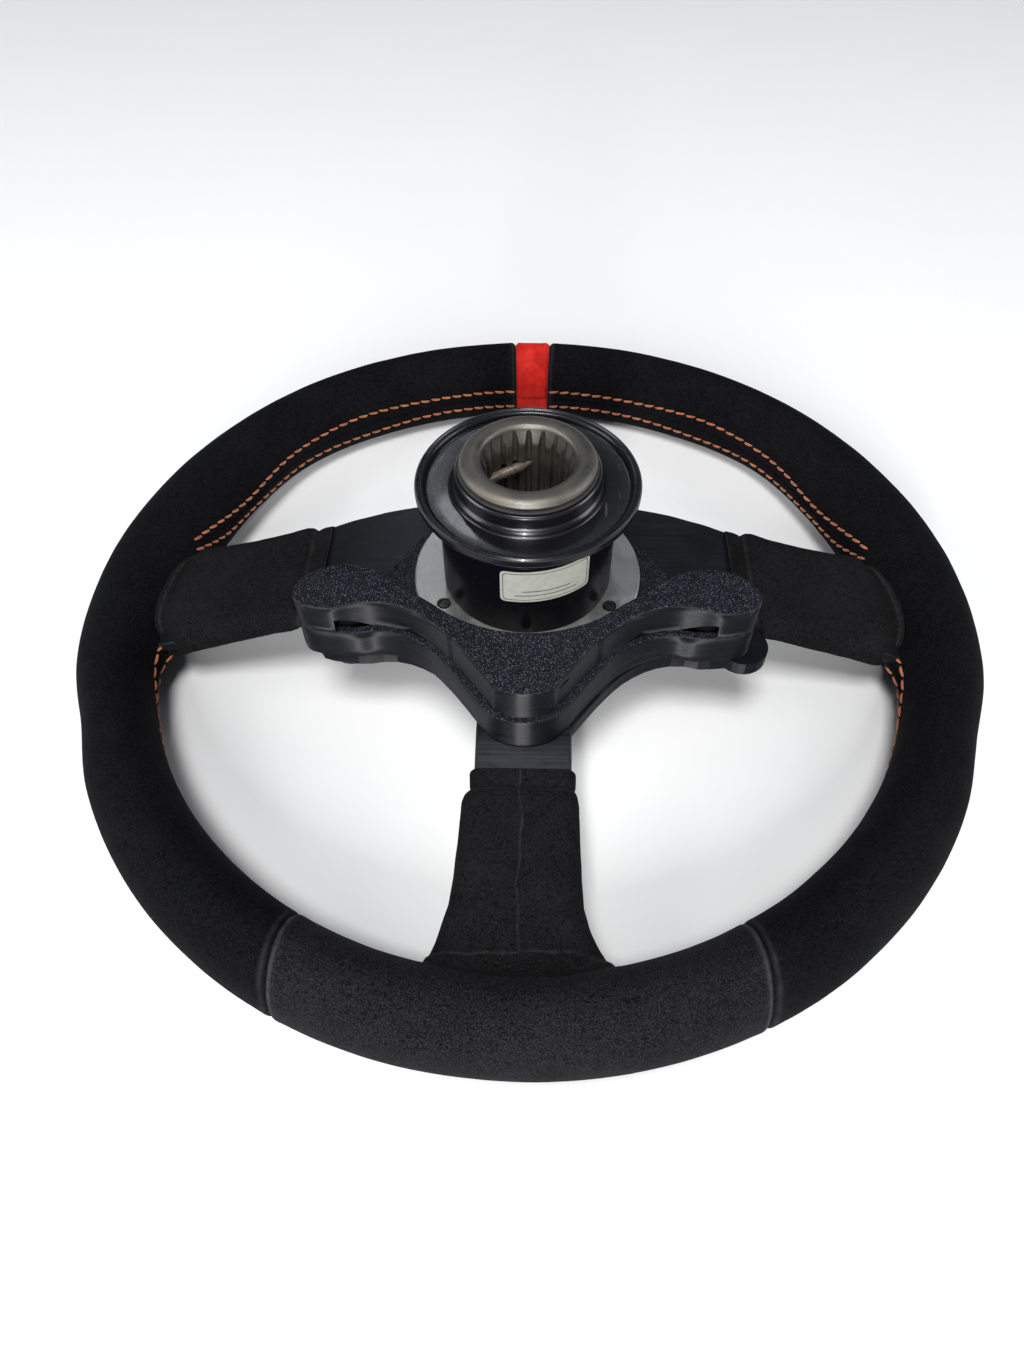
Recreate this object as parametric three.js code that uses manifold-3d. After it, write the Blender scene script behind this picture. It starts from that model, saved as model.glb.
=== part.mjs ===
// A quick release steering wheel for a race car, seen from its back: the rim lies on its front face
// in the plane z = 0, +Z points along the steering axis to the column and +Y to 12 o'clock.
import * as THREE from 'three';
import { mergeVertices } from 'three/addons/utils/BufferGeometryUtils.js';
import Module from 'manifold-3d';

const wasm = await Module();
wasm.setup();

// ---- Driving dimensions, in millimetres and degrees ----
const GAP = 0.3; // clearance between neighbours

// Rim: outer and inner radius at clock angles from 12 o'clock (0) to 6 o'clock (180)
const RIM_CLOCK = [0, 25, 45, 58, 66, 78, 92, 101, 110, 119, 135, 180];
const RIM_OUTER = [172, 172.9, 174.1, 175.7, 176.2, 176.4, 175.3, 174.6, 172.3, 174.4, 175.8, 175.8];
const RIM_INNER = [147.4, 148.2, 149, 143.8, 141.5, 140.5, 144.5, 146.2, 146.4, 146.2, 145.8, 146.2];
const RIM_MIDDLE = 160.5;
const RIM_HALF_DEPTH = 19.2;
const COVER_T = 1.5; // suede and its backing
const RING_R = 5.5; // metal ring inside the rim
const BAND_HALF = 2.95; // half the red band's clock angle
const PANEL_SEAM = 153.5; // clock angle of the seams beside the bottom panel

// Spoke plate
const PLATE_T = 4;
const PLATE_BACK = 43.2;
const PLATE_FRONT = PLATE_BACK - PLATE_T;
const BEND_R = 70; // the spokes bend down towards the rim from here
const SPOKE_END = 154.3; // just short of the metal ring
const SPOKE_DROP = 22; // from the plate's back face to the spoke's at its end
const PLATE_BORE = 25.5;
const BOLT_CIRCLE = 35;
const BOLT_COUNT = 6;
const BOLT_HOLE_R = 2.1;
const BOLT_R = 1.8;

// Housing on the back of the plate
const SKIRT_T = 0.7;
const HOUSING_SPLIT = 56.2;
const HOUSING_TOP = 68.6;
const HOUSING_WALL = 2.4;
const HOUSING_STEP = 2.4; // the lower half stands this far proud of the upper half
const HOUSING_ARC = 47.5;
const LOBE_X = 64; // centre of a side lobe, where its button sits
const LOBE_Y = -28;
const FRONT_COVER_LOW = 37.2;

// Quick release
const DISC_R = 42.4;
const DISC_LOW = PLATE_BACK + SKIRT_T + 0.2;
const DISC_TOP = 48.5;
const BOSS_R = 30.8;
const BOSS_TOP = 57.4;
const BODY_R = 31.1;
const BODY_BORE = 27.6;
const BODY_TOP = 81.5;
const HUB_R = 19.3;
const HUB_SHOULDER_TOP = 61.7;
const HUB_TOP = 102.8;
const LIP_R = 23.3;
const SPLINES = 20;
const SPLINE_LAND = 14.5;
const SPLINE_ROOT = 16;
const COLLAR_BORE = 19.8;
const COLLAR_TRAVEL = 7;
const FLANGE_R = 38.8;
const FLANGE_LOW = BODY_TOP + COLLAR_TRAVEL + GAP;
const PIN_Z = 86.2;
const PIN_R = 1.5;
const PIN_OFFSET = 13.6; // from the steering axis to the pin's own axis
const PIN_HALF = 12;
const PIN_TRAVEL = 3;
const PIN_AZIMUTH = 123; // direction in which the first pin backs out
const SPRING_R = 22.8;
const SPRING_WIRE = 1;
const SPRING_TURNS = 4.5;

const TURN_STEPS = 40;
const rad = THREE.MathUtils.degToRad;

// ---- Materials ----
const material = (color, roughness, metalness) =>
  new THREE.MeshStandardMaterial({ color, roughness, metalness });
const suede = () => material(0x101012, 0.95, 0);
const greySuede = () => material(0x232120, 0.95, 0);
const redLeather = () => material(0xc0211c, 0.6, 0);
const foamGrey = () => material(0x3a3a3c, 0.9, 0);
const anodised = () => material(0x1a1c22, 0.4, 0.8);
const glossBlack = () => material(0x08080a, 0.15, 0.6);
const printed = () => material(0x15171f, 0.6, 0.1);
const aluminium = () => material(0xa9abad, 0.35, 1);
const steel = () => material(0x8a8780, 0.35, 1);
const springSteel = () => material(0x6c6c70, 0.4, 1);
const rubber = () => material(0x0c0c0c, 0.8, 0);
const boardGreen = () => material(0x1b4a2c, 0.5, 0);
const labelWhite = () => material(0xe4e2d4, 0.6, 0);
const batteryGrey = () => material(0x8d9299, 0.4, 0.3);
const buttonRed = () => material(0x9b1515, 0.4, 0);

// ---- Solids ----
const group = new THREE.Group();

// A closed geometry as a manifold solid, with its collapsed triangles left out.
function solid(geometry) {
  const bare = geometry.clone();
  bare.deleteAttribute('normal');
  bare.deleteAttribute('uv');
  const merged = mergeVertices(bare, 1e-4);
  const all = merged.index.array;
  const kept = [];
  for (let i = 0; i < all.length; i += 3) {
    const [a, b, c] = all.slice(i, i + 3);
    if (a !== b && b !== c && c !== a) kept.push(a, b, c);
  }
  const made = new wasm.Manifold(new wasm.Mesh({
    numProp: 3,
    vertProperties: merged.getAttribute('position').array,
    triVerts: new Uint32Array(kept),
  }));
  if (made.volume() >= 0) return made;
  for (let i = 0; i < kept.length; i += 3) [kept[i], kept[i + 1]] = [kept[i + 1], kept[i]];
  return new wasm.Manifold(new wasm.Mesh({
    numProp: 3,
    vertProperties: merged.getAttribute('position').array,
    triVerts: new Uint32Array(kept),
  }));
}

function add(name, shape, look) {
  const { vertProperties, triVerts } = shape.getMesh();
  const geometry = new THREE.BufferGeometry();
  geometry.setAttribute('position', new THREE.BufferAttribute(vertProperties, 3));
  geometry.setIndex(new THREE.BufferAttribute(triVerts, 1));
  const flat = geometry.toNonIndexed();
  flat.computeVertexNormals();
  const mesh = new THREE.Mesh(flat, look);
  mesh.name = name;
  group.add(mesh);
}

// A prism over a plan shape, from height low to height high.
function prism(shape, low, high, curveSegments = 12) {
  const options = { depth: high - low, bevelEnabled: false, curveSegments };
  return solid(new THREE.ExtrudeGeometry(shape, options).translate(0, 0, low));
}

// A body turned about the steering axis from a closed profile of [radius, height] points.
function turned(profile, steps = TURN_STEPS) {
  const points = profile.map(([r, z]) => new THREE.Vector2(r, z));
  points.push(points[0].clone());
  return solid(new THREE.LatheGeometry(points, steps).rotateX(Math.PI / 2));
}

function ring(inner, outer, low, high, steps = TURN_STEPS) {
  return turned([[inner, low], [outer, low], [outer, high], [inner, high]], steps);
}

function rod(x, y, r, low, high, steps = 16) {
  const drum = new THREE.CylinderGeometry(r, r, high - low, steps).rotateX(Math.PI / 2);
  return solid(drum.translate(x, y, (low + high) / 2));
}

function box(lowX, highX, lowY, highY, lowZ, highZ) {
  const block = new THREE.BoxGeometry(highX - lowX, highY - lowY, highZ - lowZ);
  return solid(block.translate((lowX + highX) / 2, (lowY + highY) / 2, (lowZ + highZ) / 2));
}

const plan = (points) => new THREE.Shape(points.map(([x, y]) => new THREE.Vector2(x, y)));
const mirrored = (points) => points.map(([x, y]) => [-x, y]).reverse();

function sector(from, to, radius) {
  const points = [[0, 0]];
  const steps = Math.max(1, Math.ceil((to - from) / 20));
  for (let i = 0; i <= steps; i++) {
    const clock = rad(from + ((to - from) * i) / steps);
    points.push([radius * Math.sin(clock), radius * Math.cos(clock)]);
  }
  return plan(points);
}

// ---- Rim ----
const rimRadii = new THREE.CubicInterpolant(
  new Float32Array(RIM_CLOCK),
  new Float32Array(RIM_CLOCK.flatMap((_, i) => [RIM_OUTER[i], RIM_INNER[i]])),
  2,
);

// The rim's tube, drawn in from its outer surface by inset.
function rimTube(inset) {
  const torus = new THREE.TorusGeometry(RIM_MIDDLE, 10, 12, 60);
  const at = torus.getAttribute('position');
  for (let i = 0; i < at.count; i++) {
    const clock = Math.atan2(at.getX(i), at.getY(i));
    const turn = Math.atan2(at.getZ(i), Math.hypot(at.getX(i), at.getY(i)) - RIM_MIDDLE);
    const [outer, inner] = rimRadii.evaluate(Math.abs(THREE.MathUtils.radToDeg(clock)));
    const r = (outer + inner) / 2 + ((outer - inner) / 2 - inset) * Math.cos(turn);
    const z = RIM_HALF_DEPTH + (RIM_HALF_DEPTH - inset) * Math.sin(turn);
    at.setXYZ(i, r * Math.sin(clock), r * Math.cos(clock), z);
  }
  return solid(torus);
}

const metalRing = (grow) => solid(
  new THREE.TorusGeometry(RIM_MIDDLE, RING_R + grow, 8, 40).translate(0, 0, RIM_HALF_DEPTH),
);

// ---- Spoke plate ----
// Height of the plate's back face at a distance along a spoke.
const slope = SPOKE_DROP / (SPOKE_END - BEND_R);
const backAt = (r) => PLATE_BACK - slope * Math.max(0, r - BEND_R);

// A sheet that follows the dished plate from one spoke end to the other, between two offsets
// from the plate's back face, over the given width. It runs along X, or along -Y for the bottom.
function dishedSheet(stations, width, alongY) {
  const side = stations.map(([r, up]) => [r, backAt(Math.abs(r)) + up]);
  const under = [...stations].reverse().map(([r, , down]) => [r, backAt(Math.abs(r)) - down]);
  const sheet = new THREE.ExtrudeGeometry(plan([...side, ...under]), {
    depth: width[1] - width[0],
    bevelEnabled: false,
  });
  sheet.rotateX(Math.PI / 2).translate(0, width[1], 0);
  if (alongY) sheet.rotateZ(-Math.PI / 2);
  return solid(sheet);
}

const SIDE_TOP = [[0, 44.2], [24, 42.9], [48, 39], [58, 36.2], [66, 33.2], [78, 30], [92, 28.2], [110, 27],
  [SPOKE_END, 27]];
const SIDE_LOW = [[SPOKE_END, -20.5], [120, -19.5], [90, -18.5], [62, -20]];
const BOTTOM_HALF = 16.2;
const CROTCH = { x: 60, y: -64 };

function plateOutline(grow) {
  const right = SIDE_TOP.map(([x, y]) => [x, y + grow]);
  right.push(...SIDE_LOW.map(([x, y]) => [x, y - grow]));
  const reach = CROTCH.x - BOTTOM_HALF - grow;
  for (let i = 1; i <= 8; i++) {
    const turn = rad(90 + (90 * i) / 8);
    right.push([CROTCH.x + reach * Math.cos(turn), CROTCH.y + reach * Math.sin(turn)]);
  }
  right.push([BOTTOM_HALF + grow, -SPOKE_END]);
  return plan([...right, ...mirrored(right).filter(([x]) => x !== 0)]);
}

function plateSolid(grow) {
  const end = SPOKE_END + 4;
  const across = [[-end, grow, PLATE_T + grow], [-BEND_R, grow, PLATE_T + grow],
    [BEND_R, grow, PLATE_T + grow], [end, grow, PLATE_T + grow]];
  const down = [[40, grow, PLATE_T + grow], [BEND_R, grow, PLATE_T + grow],
    [end, grow, PLATE_T + grow]];
  const sheets = dishedSheet(across, [-42, 52], false).add(dishedSheet(down, [-44, 44], true));
  return prism(plateOutline(grow), -5, 60).intersect(sheets)
    .intersect(rod(0, 0, SPOKE_END + 2 * grow, -5, 60, 72));
}

const bolts = [];
for (let i = 0; i < BOLT_COUNT; i++) {
  const turn = rad(30 + (360 * i) / BOLT_COUNT);
  bolts.push([BOLT_CIRCLE * Math.cos(turn), BOLT_CIRCLE * Math.sin(turn)]);
}
const boltHoles = bolts.map(([x, y]) => rod(x, y, BOLT_HOLE_R, 30, DISC_TOP + 1))
  .reduce((all, hole) => all.add(hole));

const housingScrews = [[-47, -30.5], [47, -30.5], [-8.5, -61], [8.5, -61]];
const SCREW_R = 1.3;
const screwHoles = (r, low, high) => housingScrews
  .map(([x, y]) => rod(x, y, r, low, high, 12))
  .reduce((all, hole) => all.add(hole));

add('spoke_plate', plateSolid(0)
  .subtract(rod(0, 0, PLATE_BORE, 30, 50, TURN_STEPS))
  .subtract(boltHoles)
  .subtract(screwHoles(SCREW_R + GAP, 30, 50)), anodised());

add('rim_ring', metalRing(0), springSteel());

const slots = plateSolid(GAP);
add('rim_foam', rimTube(COVER_T + GAP).subtract(metalRing(GAP)).subtract(slots), foamGrey());

const skin = rimTube(0).subtract(rimTube(COVER_T)).subtract(slots);
const SEAM = 0.06; // half the gap between two cover panels, in degrees
const PANELS = {
  centre_band: [-BAND_HALF, BAND_HALF, redLeather()],
  cover_right: [BAND_HALF, PANEL_SEAM, suede()],
  cover_bottom: [PANEL_SEAM, 360 - PANEL_SEAM, greySuede()],
  cover_left: [360 - PANEL_SEAM, 360 - BAND_HALF, suede()],
};
for (const [name, [from, to, look]] of Object.entries(PANELS)) {
  add(name, skin.intersect(prism(sector(from + SEAM, to - SEAM, 240), -5, 60)), look);
}

// ---- Spoke sleeves: a thin hem, then a padded length that flares onto the rim ----
// Stations along a spoke: distance from the axis, padding over the plate, padding under it.
const SLEEVE_SIDE = [[78.5, 1.3], [84.5, 1.5], [88.5, 3.2], [110, 4], [130, 5.5], [140, 7.5], [150, 12]]
  .map(([r, pad]) => [r, pad, PLATE_T + pad]);
const SLEEVE_TOP_EDGE = [[78.5, 31.4], [84.5, 30.4], [88.5, 32.2], [97, 30.4], [110, 29.2], [128, 29.3],
  [138, 31.5], [144, 36.5], [150, 45]];
const SLEEVE_LOW_EDGE = [[150, -34], [144, -26.5], [138, -23.2], [128, -22.1], [110, -21],
  [97, -20], [88.5, -19.8], [84.5, -19.4], [78.5, -20]];
const BOTTOM_EDGE = [[17.4, -83.1], [17.4, -88.6], [19.2, -92.1], [20, -105], [21.2, -118], [22.4, -128],
  [24.6, -134], [28, -140], [34, -146], [40, -150]];
const BOTTOM_SIDE = [[83.1, 1.3], [88.6, 1.5], [92.1, 3.2], [112, 4], [130, 5.5], [140, 7.5], [150, 12]]
  .map(([r, pad]) => [r, pad, PLATE_T + pad]);
const rimCut = rimTube(-GAP);
const withinRim = rod(0, 0, 151, -5, 60, 72);

function sleeve(name, outline, sheet) {
  const shape = prism(plan(outline), -5, 60).intersect(sheet).intersect(withinRim);
  add(name, shape.subtract(slots).subtract(rimCut), greySuede());
}
const rightOutline = [...SLEEVE_TOP_EDGE, ...SLEEVE_LOW_EDGE];
const sideSheet = dishedSheet(SLEEVE_SIDE, [-60, 60], false);
sleeve('sleeve_right', rightOutline, sideSheet);
sleeve('sleeve_left', mirrored(rightOutline), solid(
  new THREE.BufferGeometry().copy(asGeometry(sideSheet)).rotateZ(Math.PI)));
sleeve('sleeve_bottom', [...BOTTOM_EDGE, ...mirrored(BOTTOM_EDGE)],
  dishedSheet(BOTTOM_SIDE, [-60, 60], true));

function asGeometry(shape) {
  const { vertProperties, triVerts } = shape.getMesh();
  const geometry = new THREE.BufferGeometry();
  geometry.setAttribute('position', new THREE.BufferAttribute(vertProperties, 3));
  geometry.setIndex(new THREE.BufferAttribute(triVerts, 1));
  return geometry;
}

// ---- Housing ----
// Right half of the upper half's plan, from the disc's side round the lobe to the bottom tip.
const LOBE = [[38.7, -30.2], [46.5, -23.9], [54, -19.4], [62.5, -17.4], [71.5, -19.4], [78, -24.3],
  [80.3, -30.8], [77.5, -36.2], [67, -38.6]];
const VALLEY = [[60, -36.6], [53, -35.4], [46.5, -36], [39.5, -38.6], [31.5, -44], [24.8, -51],
  [18.4, -59.2], [12.6, -67.2], [8.6, -71.4], [3.2, -73.2]];

// The same half outline with the valley side moved out by step.
function housingHalf(step) {
  const half = [];
  for (let i = 0; i <= 4; i++) {
    const turn = rad(-90 + 10.5 * i);
    half.push([HOUSING_ARC * Math.cos(turn), HOUSING_ARC * Math.sin(turn)]);
  }
  half.push(...LOBE);
  const run = [LOBE.at(-1), ...VALLEY, [0, VALLEY.at(-1)[1] - 0.2]];
  for (let i = 1; i < run.length; i++) {
    const [x, y] = run[i];
    const next = run[Math.min(i + 1, run.length - 1)];
    const along = new THREE.Vector2(next[0] - run[i - 1][0], next[1] - run[i - 1][1]).normalize();
    half.push([Math.max(0, x - along.y * step), y + along.x * step]);
  }
  return half;
}

function housingPlan(step) {
  const half = housingHalf(step);
  const points = [...half, ...mirrored(half).filter(([x]) => x < -0.01)];
  const curve = new THREE.CatmullRomCurve3(
    points.map(([x, y]) => new THREE.Vector3(x, y, 0)), true, 'centripetal');
  return curve.getSpacedPoints(84).slice(0, -1).map(({ x, y }) => [x, y]);
}

// A closed plan moved inwards by a distance, along the normal at each of its points.
function inset(points, distance) {
  return points.map(([x, y], i) => {
    const before = points.at(i - 1);
    const after = points[(i + 1) % points.length];
    const along = new THREE.Vector2(after[0] - before[0], after[1] - before[1]).normalize();
    return [x + along.y * distance, y - along.x * distance];
  });
}

const upperPlan = housingPlan(0);
const lowerPlan = housingPlan(HOUSING_STEP);
const posts = (r, low, high) => screwHoles(r, low, high);
const ROOF_T = 2.2;
const roofUnder = HOUSING_TOP - ROOF_T;

// The wedge-shaped notch in the upper half's edge, on the valley side of each lobe.
function notch(side) {
  const edge = HOUSING_SPLIT - 1;
  const points = [[50.5, edge], [66, edge], [66, edge + 7], [64, edge + 6.8]];
  const wedge = new THREE.ExtrudeGeometry(plan(points), { depth: 8, bevelEnabled: false });
  wedge.rotateX(Math.PI / 2).translate(0, -33.2, 0);
  if (side < 0) wedge.rotateZ(Math.PI).translate(0, -74.4, 0);
  return solid(wedge);
}

const upperShell = prism(plan(upperPlan), HOUSING_SPLIT + 0.1, HOUSING_TOP)
  .subtract(prism(plan(inset(upperPlan, HOUSING_WALL)), 50, roofUnder))
  .subtract(notch(1))
  .subtract(notch(-1))
  .add(posts(3.4, HOUSING_SPLIT + 0.1, roofUnder + 0.5))
  .subtract(posts(SCREW_R - 0.1 + GAP, 50, 63));
add('housing_upper', upperShell, printed());

// The skirt is a thin web round the hub, clamped between the plate and the disc.
const SKIRT_WEB = [[40, 24], [53, 3], [66, -19]];
const web = plan([...SKIRT_WEB, [40, -36], [-40, -36], ...mirrored(SKIRT_WEB)]);
const skirt = prism(web, PLATE_BACK + 0.1, PLATE_BACK + SKIRT_T)
  .add(rod(0, 0, 46, PLATE_BACK + 0.1, PLATE_BACK + SKIRT_T, 60))
  .add(rod(0, 0, HOUSING_ARC + 1, PLATE_BACK + 0.1, PLATE_BACK + SKIRT_T, 60)
    .intersect(box(-60, 60, -60, -20, 40, 50)))
  .intersect(prism(plateOutline(-0.5), 30, 60))
  .subtract(rod(0, 0, PLATE_BORE + 1, 40, 50, TURN_STEPS))
  .subtract(boltHoles);
const lowerWall = prism(plan(lowerPlan), PLATE_BACK + 0.1, HOUSING_SPLIT)
  .subtract(prism(plan(inset(lowerPlan, HOUSING_WALL)), 40, 60));
const screwRibs = box(8.5, 17.8, -63, -60, PLATE_BACK + 0.1, 50)
  .add(box(-17.8, -8.5, -63, -60, PLATE_BACK + 0.1, 50));
add('housing_lower', lowerWall
  .add(posts(3.9, PLATE_BACK + 0.1, 50))
  .add(screwRibs)
  .add(skirt)
  .subtract(screwHoles(SCREW_R + GAP, 40, 60)), printed());

// Front cover on the driver's side: it reaches further to the right than the housing does.
const COVER_SHIFT = 3;
const coverPlan = inset(lowerPlan, 1.5).map(([x, y]) => [x + COVER_SHIFT, y]);
const buttonSites = { left: [-LOBE_X, LOBE_Y], right: [LOBE_X, LOBE_Y] };
const SWITCH_R = 6.6;
let frontCover = prism(plan(coverPlan), FRONT_COVER_LOW, PLATE_BACK - GAP)
  .add(rod(78.5, -30.5, 9, FRONT_COVER_LOW, PLATE_BACK - GAP, 24))
  .subtract(slots)
  .subtract(screwHoles(SCREW_R + GAP, 30, 50));
for (const [x, y] of Object.values(buttonSites)) {
  frontCover = frontCover.subtract(rod(x, y, SWITCH_R + GAP, 30, 50, 24));
}
// What lies behind the plate or past its edge in the hub is not part of the cover.
frontCover = frontCover.decompose().sort((a, b) => b.volume() - a.volume())[0];
add('housing_front_cover', frontCover, printed());

housingScrews.forEach(([x, y], i) => {
  const head = rod(x, y, 2.6, FRONT_COVER_LOW - 2, FRONT_COVER_LOW - 0.1, 12);
  add(`housing_screw_${i + 1}`, head.add(rod(x, y, SCREW_R - 0.2, 36, 61, 12)), steel());
});

// Buttons in the side lobes, on the driver's side
const CAP_R = 5.4;
const BUTTON_TRAVEL = 1.5;
const BEZEL_LOW = FRONT_COVER_LOW - 1.9;
for (const [side, [x, y]] of Object.entries(buttonSites)) {
  const stem = rod(x, y, CAP_R - 1.4, BEZEL_LOW, FRONT_COVER_LOW - 0.3, 20);
  add(`button_cap_${side}`, rod(x, y, CAP_R, BEZEL_LOW - 2.1, BEZEL_LOW + 0.3, 24).add(stem),
    buttonRed());
  add(`button_bezel_${side}`, rod(x, y, 8.2, BEZEL_LOW, FRONT_COVER_LOW - 0.1, 24)
    .subtract(rod(x, y, CAP_R + 0.4, 20, 45, 24)), anodised());
  add(`switch_body_${side}`, rod(x, y, SWITCH_R, FRONT_COVER_LOW + BUTTON_TRAVEL, 55, 24)
    .add(rod(x, y, 4, 55, 60, 12)), rubber());
}

const BOARD_LOW = 50.3;
add('circuit_board', box(-12, 12, -65, -50.5, BOARD_LOW, BOARD_LOW + 1.6)
  .subtract(screwHoles(SCREW_R + GAP, 40, 60)), boardGreen());
add('battery', box(-11, 11, -57.1, -50.7, BOARD_LOW + 1.9, BOARD_LOW + 8), batteryGrey());

// ---- Hub bolts and their ring, on the driver's side ----
const BOLT_RING_LOW = PLATE_FRONT - 2.6;
add('bolt_ring', ring(28.6, 40.4, BOLT_RING_LOW, PLATE_FRONT - 0.1).subtract(boltHoles), anodised());
bolts.forEach(([x, y], i) => {
  const head = turned([[0, -2.4], [2.4, -2.4], [3.5, -1.2], [3.6, 0], [0, 0]], 12);
  const shank = rod(0, 0, BOLT_R, -0.5, DISC_TOP - 0.6 - BOLT_RING_LOW + 0.1, 12);
  const socket = rod(0, 0, 1.3, -3, -1.1, 6);
  const bolt = asGeometry(head.add(shank).subtract(socket));
  add(`hub_bolt_${i + 1}`, solid(bolt.translate(x, y, BOLT_RING_LOW - 0.1)), steel());
});

// ---- Quick release ----
const RING_GROOVE = { low: 45, high: 46.3, r: 18.2 };
add('hub_disc', turned([
  [22.3, DISC_LOW], [DISC_R - 0.5, DISC_LOW], [DISC_R, DISC_LOW + 0.5], [DISC_R, DISC_TOP - 0.4],
  [DISC_R - 0.4, DISC_TOP], [BOSS_R + 2, DISC_TOP], [BOSS_R + 0.6, DISC_TOP + 0.5],
  [BOSS_R, DISC_TOP + 1.8], [BOSS_R, BOSS_TOP], [HUB_R + GAP, BOSS_TOP], [HUB_R + GAP, 46.8],
  [22.3, 46.8],
]).subtract(boltHoles), aluminium());

add('body_cup', turned([
  [HUB_R + GAP, BOSS_TOP + 0.1], [BODY_R - 0.4, BOSS_TOP + 0.1], [BODY_R, BOSS_TOP + 0.5],
  [BODY_R, BODY_TOP - 0.5], [BODY_R - 0.5, BODY_TOP], [BODY_BORE, BODY_TOP],
  [BODY_BORE, 59.5], [HUB_R + GAP, 59.5],
]), glossBlack());

// Internal splines: a groove between each pair of lands.
function splineStar() {
  const points = [];
  const pitch = 360 / SPLINES;
  for (let i = 0; i < SPLINES; i++) {
    for (const [share, r] of [[0, SPLINE_LAND], [0.42, SPLINE_LAND], [0.56, SPLINE_ROOT],
      [0.86, SPLINE_ROOT]]) {
      const turn = rad(pitch * (i + share) + 77.2);
      points.push([r * Math.cos(turn), r * Math.sin(turn)]);
    }
  }
  return plan(points);
}

const pinSlot = (azimuth) => solid(new THREE.BoxGeometry(14, 25.2, 3.7)
  .translate(PIN_OFFSET - 1.9 + 7, 0, PIN_Z).rotateZ(rad(azimuth)));
add('splined_hub', turned([
  [0, DISC_LOW + 0.2], [HUB_R, DISC_LOW + 0.2], [HUB_R, RING_GROOVE.low],
  [RING_GROOVE.r, RING_GROOVE.low], [RING_GROOVE.r, RING_GROOVE.high], [HUB_R, RING_GROOVE.high],
  [HUB_R, 59.7], [24.6, 59.7], [24.6, HUB_SHOULDER_TOP], [HUB_R, HUB_SHOULDER_TOP],
  [HUB_R, 99.7], [LIP_R - 0.2, 99.7], [LIP_R, 100.4], [22.7, 101.5], [21.4, 102.4], [19.8, HUB_TOP],
  [18.2, HUB_TOP], [0, HUB_TOP],
]).subtract(prism(splineStar(), 40, 101.5))
  .subtract(turned([[0, 95.7], [SPLINE_LAND, 95.7], [15.9, 100.6], [16.2, 101.7], [16.9, 102.4],
    [18.2, HUB_TOP], [18.2, 104], [0, 104]]))
  .subtract(pinSlot(PIN_AZIMUTH))
  .subtract(pinSlot(PIN_AZIMUTH + 180)), steel());

add('retaining_ring', ring(RING_GROOVE.r + GAP, 21.8, RING_GROOVE.low + 0.15, RING_GROOVE.high - 0.15, 36)
  .subtract(box(-4, 4, 0, 30, 40, 50)), springSteel());

// Inside the collar a ramp lets the pins back out as it is pulled.
const pocket = { low: PIN_Z - PIN_R, r: 22.1 };
add('release_collar', turned([
  [25.6, 69], [27.2, 69], [27.2, FLANGE_LOW], [36.5, FLANGE_LOW], [38.2, FLANGE_LOW + 0.4],
  [FLANGE_R, FLANGE_LOW + 1.2], [FLANGE_R, 92.7], [38.3, 93.3], [37.4, 93.5], [36.4, 93.2],
  [35.5, 92.2], [35, 90.9], [26.6, 90.9], [26.3, 92.1], [25.7, 92.9], [25, 93.4], [25, 97.5],
  [24.3, 98.2], [COLLAR_BORE, 98.2], [COLLAR_BORE, 95.3], [pocket.r, 95.1],
  [pocket.r, pocket.low + COLLAR_TRAVEL], [COLLAR_BORE, pocket.low], [COLLAR_BORE, 81.3],
  [25.6, 81.3],
]), glossBlack());

add('bumper_ring', ring(HUB_R + GAP, 24, 98.5, 99.4), rubber());

// One pin: a rod with a tapered nose, lying across the bore and cut to back out sideways.
function lockPin(azimuth) {
  const pin = new THREE.LatheGeometry([[0, -PIN_HALF], [PIN_R, -PIN_HALF], [PIN_R, 5.5], [1, 7.6],
    [0.85, 9.6], [0.3, 11], [0, 11]].map(([r, y]) => new THREE.Vector2(r, y)), 12);
  pin.rotateZ(Math.PI).translate(PIN_OFFSET, 0, PIN_Z).rotateZ(rad(azimuth));
  return solid(pin);
}
add('lock_pin_1', lockPin(PIN_AZIMUTH), steel());
add('lock_pin_2', lockPin(PIN_AZIMUTH + 180), steel());

// Return spring between the hub's shoulder and the collar
class Coil extends THREE.Curve {
  getPoint(t) {
    const turn = 2 * Math.PI * SPRING_TURNS * t;
    const low = HUB_SHOULDER_TOP + GAP + SPRING_WIRE;
    const z = low + (81 - SPRING_WIRE - low) * t;
    return new THREE.Vector3(SPRING_R * Math.cos(turn), SPRING_R * Math.sin(turn), z);
  }
}
const wire = new THREE.Shape().absarc(0, 0, SPRING_WIRE, 0, 2 * Math.PI);
add('return_spring', solid(new THREE.ExtrudeGeometry(wire, {
  steps: 80, extrudePath: new Coil(), bevelEnabled: false, curveSegments: 3,
})), springSteel());

// Plain label on the body
const LABEL = { from: -109, to: -50, low: 65.8, high: 80.4 };
const labelSector = sector(90 - LABEL.to, 90 - LABEL.from, 60);
add('body_label', ring(BODY_R + 0.15, BODY_R + 0.45, LABEL.low, LABEL.high, 96)
  .intersect(prism(labelSector, LABEL.low - 1, LABEL.high + 1)), labelWhite());

export default group;
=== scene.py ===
import math

import bpy
import numpy as np
from mathutils import Matrix, Vector, noise
from mathutils.geometry import delaunay_2d_cdt


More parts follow.
